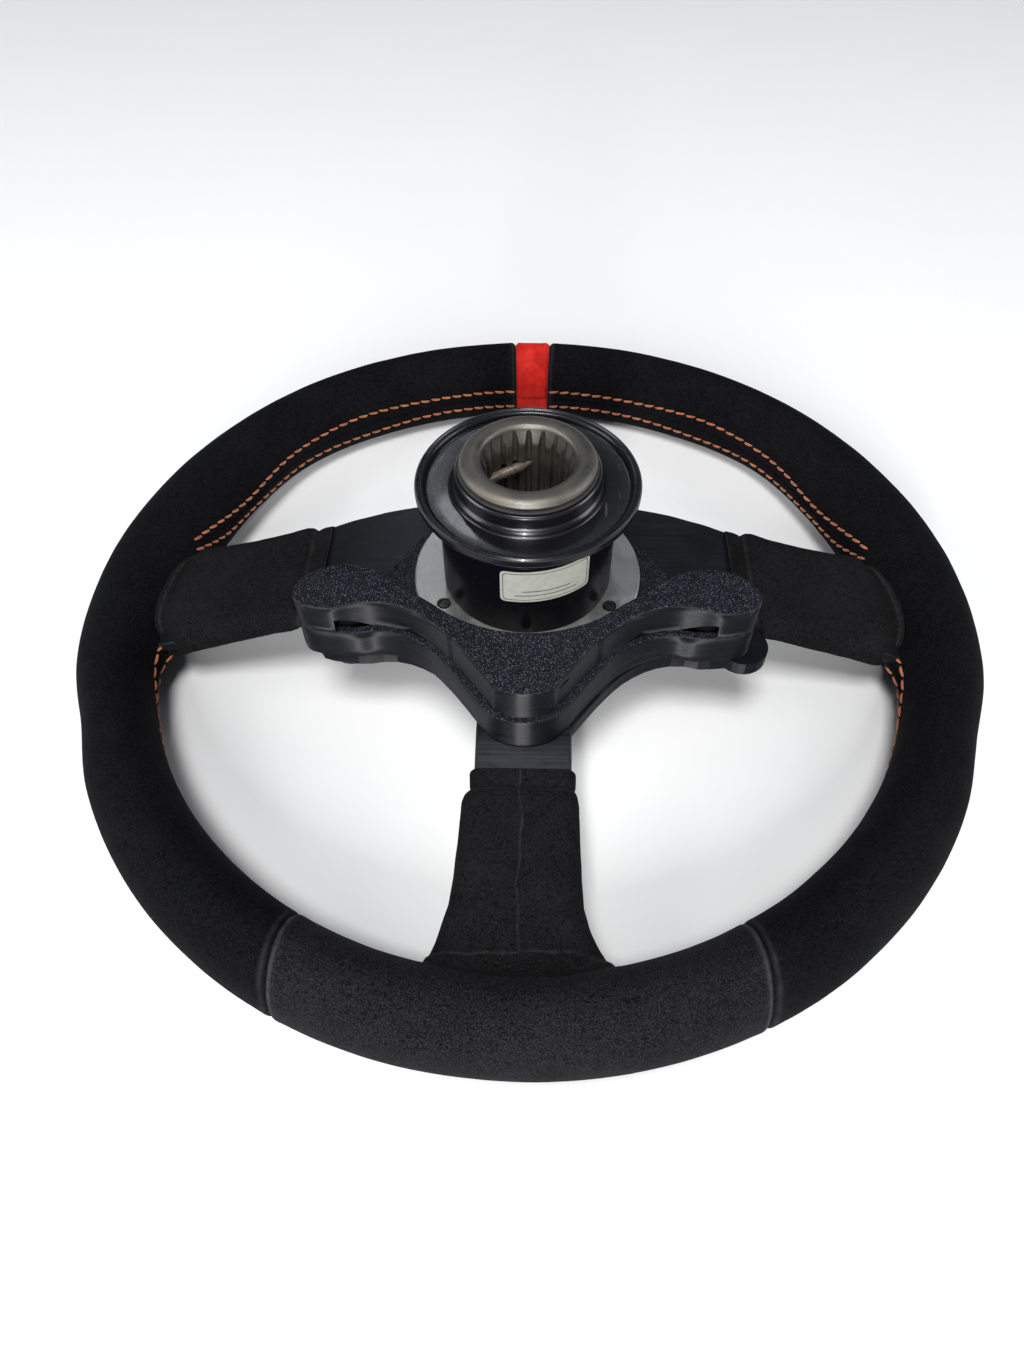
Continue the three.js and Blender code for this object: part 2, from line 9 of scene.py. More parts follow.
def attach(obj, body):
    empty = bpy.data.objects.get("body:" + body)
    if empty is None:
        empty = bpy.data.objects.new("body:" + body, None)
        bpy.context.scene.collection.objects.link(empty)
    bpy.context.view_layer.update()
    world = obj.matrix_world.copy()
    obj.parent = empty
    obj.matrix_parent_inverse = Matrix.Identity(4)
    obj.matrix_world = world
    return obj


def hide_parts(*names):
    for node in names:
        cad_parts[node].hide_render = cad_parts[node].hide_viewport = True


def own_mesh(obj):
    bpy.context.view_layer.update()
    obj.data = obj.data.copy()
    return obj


# A quick release steering wheel, lying on its front face. Lengths below are in millimetres in the
# row frame (origin on the steering axis at the rim's front, +Y to 12 o'clock, +Z to the column),
# and become metres when a mesh is made.

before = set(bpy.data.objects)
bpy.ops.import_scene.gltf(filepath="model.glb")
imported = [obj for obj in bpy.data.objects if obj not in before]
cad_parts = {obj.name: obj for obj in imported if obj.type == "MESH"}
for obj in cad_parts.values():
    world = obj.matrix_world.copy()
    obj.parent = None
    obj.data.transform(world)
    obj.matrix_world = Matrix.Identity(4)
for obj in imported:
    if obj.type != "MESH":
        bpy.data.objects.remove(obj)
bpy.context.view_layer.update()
MM = 0.001
WHEEL = "wheel"

# ------------------------------------------------------------------ mesh helpers


def new_object(name, vertices, faces, material, body=WHEEL, sharp=35, slot=None, replaces=(),
               wear=None):
    """A mesh piece from millimetre vertices, shaded smooth up to the angle sharp. Wear, from 0 to 1
    at each vertex, is where napped leather is rubbed pale."""
    mesh = bpy.data.meshes.new(name)
    mesh.from_pydata((np.asarray(vertices, float) * MM).tolist(), [], faces)
    if wear is not None:
        mesh.attributes.new("wear", "FLOAT", "POINT").data.foreach_set("value", np.ravel(wear))
    mesh.validate()
    mesh.update()
    mesh.shade_smooth()
    mesh.set_sharp_from_angle(angle=math.radians(sharp))
    mesh.materials.append(material)
    obj = bpy.data.objects.new(name, mesh)
    bpy.context.scene.collection.objects.link(obj)
    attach(obj, body)
    if replaces:
        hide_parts(*replaces)
    return obj


def grid_faces(rows, columns, wrap_rows=False, wrap_columns=False, first=0, flip=False):
    """Quads over a grid of vertices stored row by row."""
    faces = []
    for i in range(rows if wrap_rows else rows - 1):
        for j in range(columns if wrap_columns else columns - 1):
            here, below, k = first + i * columns, first + (i + 1) % rows * columns, (j + 1) % columns
            a, b, c, d = here + j, here + k, below + k, below + j
            faces.append((a, d, c, b) if flip else (a, b, c, d))
    return faces


def outward(vertices, faces):
    """The faces turned so that the closed surface has a positive volume."""
    v = np.asarray(vertices, float)
    total = 0.0
    for corners in (3, 4):
        f = np.array([face for face in faces if len(face) == corners], int).reshape(-1, corners)
        for k in range(1, corners - 1):
            total += np.einsum("ij,ij->", v[f[:, 0]], np.cross(v[f[:, k]], v[f[:, k + 1]]))
    return faces if total > 0 else [tuple(reversed(f)) for f in faces]


def joined(*solids):
    """Several (vertices, faces) as one."""
    vertices, faces = [], []
    for v, f in solids:
        faces += [tuple(i + len(vertices) for i in face) for face in f]
        vertices += np.asarray(v).tolist()
    return vertices, faces


def polar(radius, turn):
    """Plan points at a radius and an angle in radians."""
    return np.stack([radius * np.cos(turn), radius * np.sin(turn)], -1)


def circle(radius, count, x=0.0, y=0.0):
    return polar(radius, np.linspace(0, 2 * math.pi, count, endpoint=False)) + (x, y)


def rounded(profile, radius, steps=4, closed=True):
    """A polygon with each corner replaced by a small curve. A point may carry its own radius."""
    points = [np.array(p[:2], float) for p in profile]
    radii = [p[2] if len(p) > 2 else radius for p in profile]
    made = []
    count = len(points)
    for i, (p, r) in enumerate(zip(points, radii)):
        if not closed and i in (0, count - 1):
            made.append(p)
            continue
        a, b = points[i - 1] - p, points[(i + 1) % count] - p
        la, lb = np.linalg.norm(a), np.linalg.norm(b)
        d = min(r, 0.45 * la, 0.45 * lb)
        if d < 0.02:
            made.append(p)
            continue
        start, end = p + a / la * d, p + b / lb * d
        for k in range(steps + 1):
            t = k / steps
            made.append((1 - t) ** 2 * start + 2 * t * (1 - t) * p + t * t * end)
    return np.array(made)


def lathe(name, profile, material, body=WHEEL, radius=0.35, segments=160, sharp=50, **extra):
    """A body turned about the steering axis from a closed profile of (radius, height)."""
    outline = rounded(profile, radius)
    r, z = outline.T
    x, y = (np.outer(axis, r) for axis in circle(1, segments).T)
    vertices = np.stack([x, y, np.broadcast_to(z, x.shape)], -1).reshape(-1, 3)
    faces = outward(vertices, grid_faces(segments, len(r), True, True))
    return new_object(name, vertices, faces, material, body, sharp, **extra)


def unit(vectors):
    """Each row at length 1."""
    return vectors / (np.linalg.norm(vectors, axis=-1, keepdims=True) + 1e-9)


def offset_loop(loop, distance):
    """A closed plan loop moved into the material, which lies to its left."""
    normals = []
    for edge in (np.roll(loop, -1, 0) - loop, loop - np.roll(loop, 1, 0)):
        normals.append(unit(np.stack([-edge[:, 1], edge[:, 0]], 1)))
    return loop + unit(normals[0] + normals[1]) * distance


def signed_area(loop):
    x, y = loop[:, 0], loop[:, 1]
    return 0.5 * np.sum(x * np.roll(y, -1) - np.roll(x, -1) * y)


def inside(points, loop):
    """Which points lie inside a closed loop, by counting crossings."""
    x, y = points[:, 0][:, None], points[:, 1][:, None]
    x1, y1 = loop[:, 0][None], loop[:, 1][None]
    x2, y2 = np.roll(loop[:, 0], -1)[None], np.roll(loop[:, 1], -1)[None]
    crosses = (y1 > y) != (y2 > y)
    at = x1 + (y - y1) * (x2 - x1) / np.where(y2 == y1, 1e-9, y2 - y1)
    return (np.sum(crosses & (x < at), axis=1) % 2) == 1


def within(points, loops, margin=0.0):
    """Which points lie inside the first loop and outside the others, by at least the margin."""
    outline, *openings = [offset_loop(loop, margin) if margin else loop for loop in loops]
    keep = inside(points, outline)
    for opening in openings:
        keep &= ~inside(points, opening)
    return keep


def slab(loops, low, high, bevel_low=0.4, bevel_high=0.8, pitch=None, wall_rows=1, steps=3):
    """Vertices and faces of a plate over a plan: the first loop is the outline and the others are
    holes. Its edges are rounded, and pitch spaces extra points over its two faces."""
    vertices, faces, caps_low, caps_high = [], [], [], []
    for k, loop in enumerate(loops):
        wanted = 1 if k == 0 else -1
        if signed_area(loop) * wanted < 0:
            loop = loop[::-1]
        rings = [(bevel_low + 0.25, low)] if bevel_low else []
        for s in range(steps + 1) if bevel_low else (steps,):
            turn = 0.5 * math.pi * s / steps
            rings.append((bevel_low * (1 - math.sin(turn)), low + bevel_low * (1 - math.cos(turn))))
        for s in range(1, wall_rows):
            share = s / wall_rows
            rings.append((0, (low + bevel_low) * (1 - share) + (high - bevel_high) * share))
        for s in range(steps + 1) if bevel_high else (0,):
            turn = 0.5 * math.pi * s / steps
            rings.append((bevel_high * (1 - math.cos(turn)), high - bevel_high * (1 - math.sin(turn))))
        if bevel_high:
            rings.append((bevel_high + 0.25, high))
        first = len(vertices)
        count = len(loop)
        for distance, z in rings:
            moved = offset_loop(loop, distance) if distance > 1e-6 else loop
            vertices.extend(np.column_stack([moved, np.full(count, z)]).tolist())
        faces += grid_faces(len(rings), count, False, True, first)
        caps_low.append(list(range(first, first + count)))
        caps_high.append(list(range(first + (len(rings) - 1) * count, first + len(rings) * count)))
    for caps, up in ((caps_low, False), (caps_high, True)):
        flat = [np.array([vertices[i][:2] for i in cap]) for cap in caps]
        ids = [i for cap in caps for i in cap]
        edges, start = [], 0
        for loop in flat:
            edges += [(start + i, start + (i + 1) % len(loop)) for i in range(len(loop))]
            start += len(loop)
        if pitch:
            x_axis, y_axis = (np.arange(*ends, pitch) for ends in zip(flat[0].min(0), flat[0].max(0)))
            grid_x, grid_y = np.meshgrid(x_axis, y_axis)
            grid_x[1::2] += pitch / 2
            extra = np.stack([grid_x.ravel(), grid_y.ravel()], 1)
            z = vertices[ids[0]][2]
            for x, y in extra[within(extra, flat, pitch * 0.4)]:
                ids.append(len(vertices))
                vertices.append([x, y, z])
        made = delaunay_2d_cdt([Vector(vertices[i][:2]) for i in ids], edges, [], 0, 1e-6)
        original = [source[0] if source else None for source in made[3]]
        triangles = np.array(made[2])
        where = np.array([v[:] for v in made[0]])
        for triangle in triangles[within(where[triangles].mean(1), flat)]:
            corner = [ids[original[i]] for i in triangle]
            a, b, c = (np.array(vertices[i][:2]) for i in corner)
            turn = (b[0] - a[0]) * (c[1] - a[1]) - (b[1] - a[1]) * (c[0] - a[0])
            if (turn > 0) != up:
                corner.reverse()
            faces.append(tuple(corner))
    return np.array(vertices, float), faces


def smooth_loop(points, spacing, closed=True):
    """A centripetal Catmull-Rom curve through plan points, resampled evenly."""
    p = np.array(points, float)
    count = len(p)
    made = []
    for i in range(count if closed else count - 1):
        if closed:
            q = [p[(i + k) % count] for k in (-1, 0, 1, 2)]
        else:
            q = [p[max(i - 1, 0)], p[i], p[i + 1], p[min(i + 2, count - 1)]]
            if i == 0:
                q[0] = 2 * q[1] - q[2]
            if i == count - 2:
                q[3] = 2 * q[2] - q[1]
        knots = [0.0]
        for a, b in zip(q, q[1:]):
            knots.append(knots[-1] + max(np.linalg.norm(b - a), 1e-6) ** 0.5)
        for t in np.linspace(knots[1], knots[2], 24, endpoint=False):
            a = [q[k] + (q[k + 1] - q[k]) * (t - knots[k]) / (knots[k + 1] - knots[k])
                 for k in range(3)]
            b = [a[k] + (a[k + 1] - a[k]) * (t - knots[k]) / (knots[k + 2] - knots[k])
                 for k in range(2)]
            made.append(b[0] + (b[1] - b[0]) * (t - knots[1]) / (knots[2] - knots[1]))
    if not closed:
        made.append(p[-1])
    return even(np.array(made), spacing, closed)


def even(points, spacing, closed=True):
    """A polyline resampled at equal steps of about the given spacing."""
    p = np.vstack([points, points[:1]]) if closed else np.asarray(points)
    run = np.concatenate([[0], np.cumsum(np.linalg.norm(np.diff(p, axis=0), axis=1))])
    count = max(4, int(round(run[-1] / spacing)))
    at = np.linspace(0, run[-1], count, endpoint=not closed)
    return np.stack([np.interp(at, run, p[:, k]) for k in range(p.shape[1])], 1)


def cubic(a, slope_a, b, slope_b, t):
    """A curve from a to b with these slopes at its ends, for t from 0 to 1."""
    return ((2 * t**3 - 3 * t**2 + 1) * a + (t**3 - 2 * t**2 + t) * slope_a
            + (3 * t**2 - 2 * t**3) * b + (t**3 - t**2) * slope_b)


def hermite(xs, ys, x):
    """A smooth curve through given points, read at x."""
    xs, ys, x = np.asarray(xs, float), np.asarray(ys, float), np.asarray(x, float)
    slopes = np.gradient(ys, xs)
    i = np.clip(np.searchsorted(xs, x) - 1, 0, len(xs) - 2)
    h = xs[i + 1] - xs[i]
    t = np.clip((x - xs[i]) / h, 0, 1)
    return cubic(ys[i], h * slopes[i], ys[i + 1], h * slopes[i + 1], t)


def mirrored(points):
    """Plan points on the other side of the Y axis, in the opposite order."""
    p = np.asarray(points, float)[::-1].copy()
    p[:, 0] *= -1
    return p


def hump(x, width):
    """A smooth hill of height 1 at x = 0."""
    return np.exp(-((x / width) ** 2))


def lumps(points, size, seed):
    """Smooth noise from -1 to 1 at each point, with lumps of the given size in millimetres."""
    return np.array([noise.noise(Vector((x / size + seed, y / size, z / size))) for x, y, z in points])


# ------------------------------------------------------------------ materials


class Shader:
    """A small wrapper that adds and links the nodes of one material."""

    def __init__(self, name, color, roughness, metallic=0.0, **fixed):
        self.material = bpy.data.materials.new(name)
        self.material.use_nodes = True
        self.tree = self.material.node_tree
        self.bsdf = self.tree.nodes["Principled BSDF"]
        self.set("Base Color", (*color, 1))
        self.set("Roughness", roughness)
        self.set("Metallic", metallic)
        for key, value in fixed.items():
            self.set(key.replace("_", " "), value)
        self.coords = self.tree.nodes.new("ShaderNodeTexCoord").outputs["Object"]

    def feed(self, socket, value):
        """Links a socket to another node's output, or gives it a constant."""
        if isinstance(value, bpy.types.NodeSocket):
            self.tree.links.new(value, socket)
        else:
            socket.default_value = value

    def set(self, name, value):
        self.feed(self.bsdf.inputs[name], value)

    def node(self, kind, inputs=(), output=0, **settings):
        made = self.tree.nodes.new(kind)
        for key, value in settings.items():
            setattr(made, key, value)
        for key, value in dict(inputs).items():
            self.feed(made.inputs[key], value)
        return made.outputs[output]

    def math(self, operation, a, b=0.0):
        return self.node("ShaderNodeMath", {0: a, 1: b}, operation=operation)

    def plus(self, a, b):
        return self.math("ADD", a, b)

    def times(self, a, b):
        return self.math("MULTIPLY", a, b)

    def stretched(self, x, y, z):
        return self.node("ShaderNodeMapping", {"Vector": self.coords, "Scale": (x, y, z)})

    def noise(self, scale, detail=3.0, rough=0.55, coords=None, distortion=0.0):
        return self.node("ShaderNodeTexNoise", {
            "Vector": coords or self.coords, "Scale": scale, "Detail": detail,
            "Roughness": rough, "Distortion": distortion})

    def spread(self, value, low, high, to_low=0.0, to_high=1.0):
        return self.node("ShaderNodeMapRange", {
            "Value": value, "From Min": low, "From Max": high, "To Min": to_low, "To Max": to_high})

    def mix(self, share, a, b):
        """Colour a where share is 0 and b where it is 1."""
        a, b = (c if isinstance(c, bpy.types.NodeSocket) else (*c, 1) for c in (a, b))
        return self.node("ShaderNodeMix", {0: share, 6: a, 7: b}, 2, data_type="RGBA")

    def bump(self, height, strength, distance, below=None):
        inputs = {"Height": height, "Strength": strength, "Distance": distance * MM}
        if below is not None:
            inputs["Normal"] = below
        return self.node("ShaderNodeBump", inputs)

    def separate(self, vector=None):
        return tuple(self.node("ShaderNodeSeparateXYZ", {0: vector or self.coords}).node.outputs)

    def cylinder(self):
        """Radius, angle and height about the steering axis, in metres and radians."""
        x, y, z = self.separate()
        radius = self.math("SQRT", self.plus(self.times(x, x), self.times(y, y)))
        return radius, self.math("ARCTAN2", y, x), z

    def scaled(self, x, y, z, scale):
        """Coordinates made of three values, each times its own scale."""
        values = [self.times(value, factor) for value, factor in zip((x, y, z), scale)]
        return self.node("ShaderNodeCombineXYZ", dict(enumerate(values)))

    def blend(self, value, low, high, a, b, most=1.0):
        """Colour a where value is under low, b (or most of it) where it is over high."""
        return self.mix(self.spread(value, low, high, 0, most), a, b)


def suede(name, dark, light, speckle, worn, sheen):
    """Napped leather: clumps of short fibres, with paler patches where the nap lies flat."""
    s = Shader(name, dark, 0.92, Sheen_Weight=sheen, Sheen_Roughness=0.45, Specular_IOR_Level=0.05)
    patches = s.noise(38, 4, 0.6, distortion=0.6)
    streaks = s.noise(150, 3, 0.6, distortion=1.2)
    body = s.blend(s.plus(s.times(patches, 0.65), s.times(streaks, 0.35)), 0.42, 0.66, dark, light)
    grain = s.noise(2300, 3, 0.7)
    body = s.blend(grain, 0.46, 0.64, body, speckle, 0.8)
    pits = s.noise(900, 2, 0.5)
    body = s.mix(s.spread(pits, 0.32, 0.44, 0.75, 0), body, tuple(0.3 * tone for tone in dark))
    wear = s.node("ShaderNodeAttribute", output=2, attribute_name="wear")
    rubbed = s.times(wear, s.spread(streaks, 0.3, 0.6, 0.25, 1.0))
    s.set("Base Color", s.mix(rubbed, body, worn))
    s.set("Roughness", s.spread(patches, 0.3, 0.7, 0.98, 0.82))
    fibres = s.bump(s.noise(2100, 3, 0.7), 0.7, 0.35)
    clumps = s.bump(s.noise(520, 3, 0.6), 0.5, 0.45, fibres)
    s.set("Normal", s.bump(s.noise(95, 3, 0.6), 0.35, 1.2, clumps))
    return s.material


BLACK_SUEDE = suede("black_suede", (0.0016, 0.0017, 0.0025), (0.0034, 0.0036, 0.0048),
                    (0.0125, 0.0127, 0.0150), (0.022, 0.022, 0.025), 0.002)
GREY_SUEDE = suede("grey_suede", (0.0044, 0.0044, 0.0053), (0.0080, 0.0081, 0.0098),
                   (0.030, 0.030, 0.034), (0.050, 0.050, 0.053), 0.008)
SLEEVE_SUEDE = suede("sleeve_suede", (0.0036, 0.0036, 0.0041), (0.0074, 0.0073, 0.0082),
                     (0.0185, 0.0183, 0.0195), (0.036, 0.036, 0.037), 0.006)


def red_band_material():
    s = Shader("red_band", (0.6, 0.02, 0.012), 0.6, Specular_IOR_Level=0.12, Sheen_Weight=0.02)
    patches = s.noise(110, 4, 0.6)
    creases = s.noise(420, 3, 0.65, distortion=1.5)
    body = s.blend(patches, 0.38, 0.66, (0.42, 0.008, 0.005), (0.66, 0.024, 0.015))
    # Where the creases fold in, the colour is painted darker: painted shade in the creases.
    s.set("Base Color", s.mix(s.spread(creases, 0.3, 0.42, 0.7, 0), body, (0.2, 0.003, 0.003)))
    s.set("Roughness", s.spread(patches, 0.3, 0.7, 0.66, 0.5))
    pores = s.node("ShaderNodeTexVoronoi", {"Vector": s.coords, "Scale": 950.0}, 0)
    s.set("Normal", s.bump(creases, 0.45, 0.4, s.bump(pores, 0.35, 0.25)))
    return s.material


def thread_material():
    s = Shader("thread", (0.36, 0.09, 0.022), 0.62, Sheen_Weight=0.3, Specular_IOR_Level=0.4)
    plies = s.node(
        "ShaderNodeTexWave", {"Vector": s.coords, "Scale": 1500.0, "Distortion": 1.0, "Detail": 1.0},
        1, wave_type="BANDS", bands_direction="DIAGONAL")
    tone = s.noise(420, 2, 0.6)
    body = s.blend(tone, 0.35, 0.65, (0.26, 0.062, 0.014), (0.50, 0.138, 0.033))
    # The grooves between the plies are painted darker: painted shade between them.
    s.set("Base Color", s.mix(s.spread(plies, 0.0, 0.35, 0.3, 0), body, (0.14, 0.03, 0.008)))
    s.set("Normal", s.bump(plies, 0.4, 0.15))
    return s.material


def anodised_material():
    """Black anodised sheet, brushed along X, with a few light scratches."""
    s = Shader("anodised_black", (0.02, 0.021, 0.026), 0.38, 0.75, Specular_IOR_Level=0.5)
    brushing = s.noise(1, 3, 0.65, s.stretched(30, 2600, 300))
    smudge = s.noise(55, 4, 0.6)
    body = s.blend(brushing, 0.3, 0.7, (0.012, 0.0125, 0.016), (0.030, 0.032, 0.040))
    scratch = s.noise(1, 2, 0.4, s.stretched(26, 900, 200), 0.4)
    body = s.blend(scratch, 0.70, 0.74, body, (0.06, 0.063, 0.072), 0.8)
    s.set("Base Color", s.blend(smudge, 0.35, 0.65, body, (0.028, 0.029, 0.034), 0.5))
    rough = s.plus(s.spread(brushing, 0.3, 0.7, 0.30, 0.42), s.spread(smudge, 0.3, 0.7, -0.05, 0.1))
    s.set("Roughness", rough)
    s.set("Normal", s.bump(brushing, 0.25, 0.12))
    return s.material


def gloss_material(name, rough_low, rough_high, **shine):
    """Polished black anodising with turning marks, dust and a few scratches."""
    s = Shader(name, (0.003, 0.003, 0.004), rough_high, **shine)
    radius, angle, z = s.cylinder()
    rings = s.noise(1, 3, 0.7, s.scaled(radius, angle, z, (5200.0, 1.5, 5200.0)))
    smear = s.noise(70, 4, 0.65, distortion=0.5)
    dust = s.noise(1900, 1, 0.5)
    scratch = s.noise(1, 1.5, 0.4, s.stretched(520, 60, 60), 0.8)
    body = s.blend(dust, 0.74, 0.80, (0.003, 0.003, 0.005), (0.06, 0.06, 0.06), 0.5)
    s.set("Base Color", s.blend(scratch, 0.75, 0.765, body, (0.10, 0.105, 0.12), 0.3))
    rough = s.plus(s.spread(smear, 0.35, 0.7, rough_low, rough_high),
                   s.spread(rings, 0.3, 0.7, 0.0, 0.06))
    s.set("Roughness", rough)
    s.set("Normal", s.bump(rings, 0.10, 0.05))
    return s.material


def turned_metal(name, dark, light, rough_low, rough_high, stain=None, stain_share=0.0):
    """Lathe-turned metal: fine rings about the steering axis and soft stains."""
    s = Shader(name, light, rough_high, 1.0)
    radius, angle, z = s.cylinder()
    rings = s.noise(1, 4, 0.7, s.scaled(radius, angle, z, (4200.0, 2.0, 4200.0)))
    patches = s.noise(85, 4, 0.62, distortion=0.4)
    fine = s.noise(900, 3, 0.6)
    body = s.blend(s.plus(s.times(rings, 0.5), s.times(patches, 0.5)), 0.38, 0.62, dark, light)
    if stain:
        body = s.blend(s.plus(patches, s.times(fine, 0.4)), 0.66, 0.86, body, stain, stain_share)
    s.set("Base Color", body)
    s.set("Roughness", s.plus(s.spread(patches, 0.3, 0.7, rough_low, rough_high),
                              s.spread(fine, 0.3, 0.7, -0.04, 0.06)))
    s.set("Normal", s.bump(fine, 0.12, 0.08, s.bump(rings, 0.22, 0.08)))
    return s.material


def rusty_pin_material():
    s = Shader("rusted_pin", (0.28, 0.22, 0.17), 0.5, 0.75)
    patches = s.noise(480, 4, 0.65, distortion=0.6)
    fine = s.noise(2600, 3, 0.6)
    body = s.blend(patches, 0.42, 0.6, (0.30, 0.27, 0.235), (0.17, 0.12, 0.08))
    s.set("Base Color", s.blend(fine, 0.55, 0.7, body, (0.07, 0.045, 0.03), 0.7))
    s.set("Roughness", s.spread(patches, 0.35, 0.65, 0.38, 0.8))
    s.set("Metallic", s.spread(patches, 0.42, 0.6, 0.95, 0.35))
    s.set("Normal", s.bump(patches, 0.5, 0.15, s.bump(fine, 0.4, 0.08)))
    return s.material


def printed_top_material():
    """The level faces of printed plastic, full of fine glitter."""
    s = Shader("printed_level", (0.008, 0.009, 0.015), 0.5, 0.0, Specular_IOR_Level=0.2)
    distance = s.node("ShaderNodeTexVoronoi", {"Vector": s.coords, "Scale": 3600.0})
    pick = s.separate(distance.node.outputs["Color"])[0]
    flake = s.times(s.math("GREATER_THAN", pick, 0.55), s.math("LESS_THAN", distance, 0.45))
    strong = s.times(s.math("GREATER_THAN", pick, 0.84), s.math("LESS_THAN", distance, 0.4))
    mottle = s.noise(300, 3, 0.6)
    body = s.blend(mottle, 0.35, 0.65, (0.0020, 0.0026, 0.0048), (0.0040, 0.0050, 0.0084))
    body = s.mix(s.times(flake, 0.8), body, (0.019, 0.021, 0.031))
    s.set("Base Color", s.mix(s.times(strong, 0.8), body, (0.20, 0.212, 0.265)))
    s.set("Roughness", s.spread(mottle, 0.3, 0.7, 0.45, 0.58))
    s.set("Normal", s.bump(distance, 0.5, 0.3))
    return s.material


def printed_wall_material():
    """The upright faces, which show the printed layers and stretch a highlight up and down. Their
    colour is darker than the level faces', as painted shade on the walls, and the layers are painted
    dark in their grooves, as painted shade between them.
    """
    s = Shader("printed_wall", (0.004, 0.005, 0.008), 0.5, 0.0, Specular_IOR_Level=0.32,
               Anisotropic=1.0, Anisotropic_Rotation=0.25)
    s.set("Tangent", s.node("ShaderNodeTangent", direction_type="RADIAL", axis="Z"))
    layers = s.noise(1, 3, 0.75, s.scaled(*s.separate(), (14.0, 14.0, 1150.0)))
    patches = s.noise(160, 3, 0.6)
    # Darker in the layers' grooves and lighter on their beads: painted shade in the grooves.
    body = s.blend(layers, 0.34, 0.66, (0.0010, 0.0012, 0.0022), (0.0075, 0.0080, 0.0115))
    s.set("Base Color", s.blend(patches, 0.5, 0.75, body, (0.009, 0.0095, 0.013), 0.4))
    s.set("Roughness", s.spread(layers, 0.35, 0.65, 0.38, 0.62))
    s.set("Normal", s.bump(layers, 0.8, 0.2))
    return s.material


def label_material():
    s = Shader("label_film", (0.80, 0.79, 0.70), 0.42, Specular_IOR_Level=0.4)
    fine = s.noise(500, 3, 0.6)
    s.set("Base Color", s.blend(fine, 0.35, 0.7, (0.38, 0.384, 0.34), (0.45, 0.455, 0.40)))
    s.set("Normal", s.bump(s.noise(120, 2, 0.5), 0.2, 0.3))
    return s.material


def plain(name, low, high, roughness, metallic=0.0, scale=300.0, bump=0.2):
    """A small part's finish: two close tones in fine mottling, with a slight texture."""
    s = Shader(name, low, roughness, metallic)
    grain = s.noise(scale, 4, 0.6)
    s.set("Base Color", s.blend(grain, 0.35, 0.65, low, high))
    s.set("Roughness", s.spread(grain, 0.3, 0.7, roughness - 0.06, roughness + 0.08))
    s.set("Normal", s.bump(grain, bump, 0.15))
    return s.material


RED_BAND = red_band_material()
THREAD = thread_material()
ANODISED = anodised_material()
GLOSS = gloss_material("polished_black", 0.22, 0.30, Specular_IOR_Level=0.5, Coat_Weight=0.2,
                       Coat_Roughness=0.06)
CUP_GLOSS = gloss_material("cup_black", 0.2, 0.3, Specular_IOR_Level=0.03)
PRINTED = printed_top_material()
PRINTED_WALL = printed_wall_material()
PIN = rusty_pin_material()
LABEL = label_material()
DISC = turned_metal("satin_aluminium", (0.58, 0.58, 0.56), (0.76, 0.76, 0.74), 0.34, 0.48)
HUB = turned_metal("hub_steel", (0.14, 0.136, 0.122), (0.23, 0.22, 0.198), 0.44, 0.6,
                   (0.18, 0.14, 0.095), 0.5)
SPRING = plain("spring_steel", (0.22, 0.22, 0.23), (0.34, 0.34, 0.35), 0.34, 1.0, 700)
BOLT = plain("bolt_steel", (0.34, 0.34, 0.34), (0.50, 0.50, 0.49), 0.34, 1.0, 800)
DARK_BOLT = plain("blackened_steel", (0.05, 0.048, 0.045), (0.13, 0.125, 0.115), 0.42, 1.0, 800)
RUBBER = plain("bumper_rubber", (0.012, 0.012, 0.012), (0.022, 0.022, 0.022), 0.72, 0.0, 600, 0.35)
BUTTON = plain("button_plastic", (0.36, 0.018, 0.015), (0.46, 0.026, 0.02), 0.34, 0.0, 500, 0.12)
SWITCH = plain("switch_plastic", (0.014, 0.014, 0.014), (0.024, 0.024, 0.024), 0.55, 0.0, 500)
BOARD = plain("board_mask", (0.015, 0.10, 0.035), (0.022, 0.15, 0.05), 0.4, 0.0, 420)
BATTERY = plain("battery_pouch", (0.32, 0.33, 0.35), (0.42, 0.43, 0.45), 0.34, 0.4, 200)
FOAM = plain("moulded_foam", (0.05, 0.05, 0.052), (0.09, 0.09, 0.094), 0.9, 0.0, 900, 0.5)
LABEL_INK = plain("label_ink", (0.02, 0.02, 0.02), (0.03, 0.03, 0.03), 0.5, 0.0, 900, 0.05)

# ------------------------------------------------------------------ rim

RIM_CLOCK = [0, 25, 45, 58, 66, 78, 92, 101, 110, 119, 135, 180]
RIM_OUTER = [172, 172.9, 174.1, 175.7, 176.2, 176.4, 175.3, 174.6, 172.3, 174.4, 175.8, 175.8]
RIM_INNER = [147.4, 148.2, 149, 143.8, 141.5, 140.5, 144.5, 146.2, 146.4, 146.2, 145.8, 146.2]
HALF_DEPTH = 19.2
BAND_EDGE = 2.95  # clock angle where the red band ends
PANEL_SEAM = 153.5  # clock angle of the seam between black and grey leather
CORNER = 4.5  # how far the cover bulges into the corner below each side spoke
CORNER_CLOCK = 97.0
MM_PER_CLOCK = 2.8  # along the rim
MM_PER_SECTION = 0.28  # round its section
LEATHER_T = 1.75
SEAM_ROWS = {  # clock angles, then the section angles of the upper and of the lower stitch row
    "top": ([0, 20, 33, 43, 52, 62, 70, 75, 78.3],
            [175, 175, 172, 176, 176, 176.5, 163, 152, 146],
            [203, 204, 210, 208, 206, 199, 186, 169, 157]),
    "low": ([95, 98.5, 101, 105, 109, 115, 130, 150, 168],
            [175, 169, 176, 186, 195, 203, 208, 209, 209],
            [186, 190, 200, 209, 218, 226, 232, 234, 234]),
}


def wrap(clock):
    """A clock angle as degrees from 12 o'clock on either side."""
    return np.abs((np.asarray(clock, float) + 180) % 360 - 180)


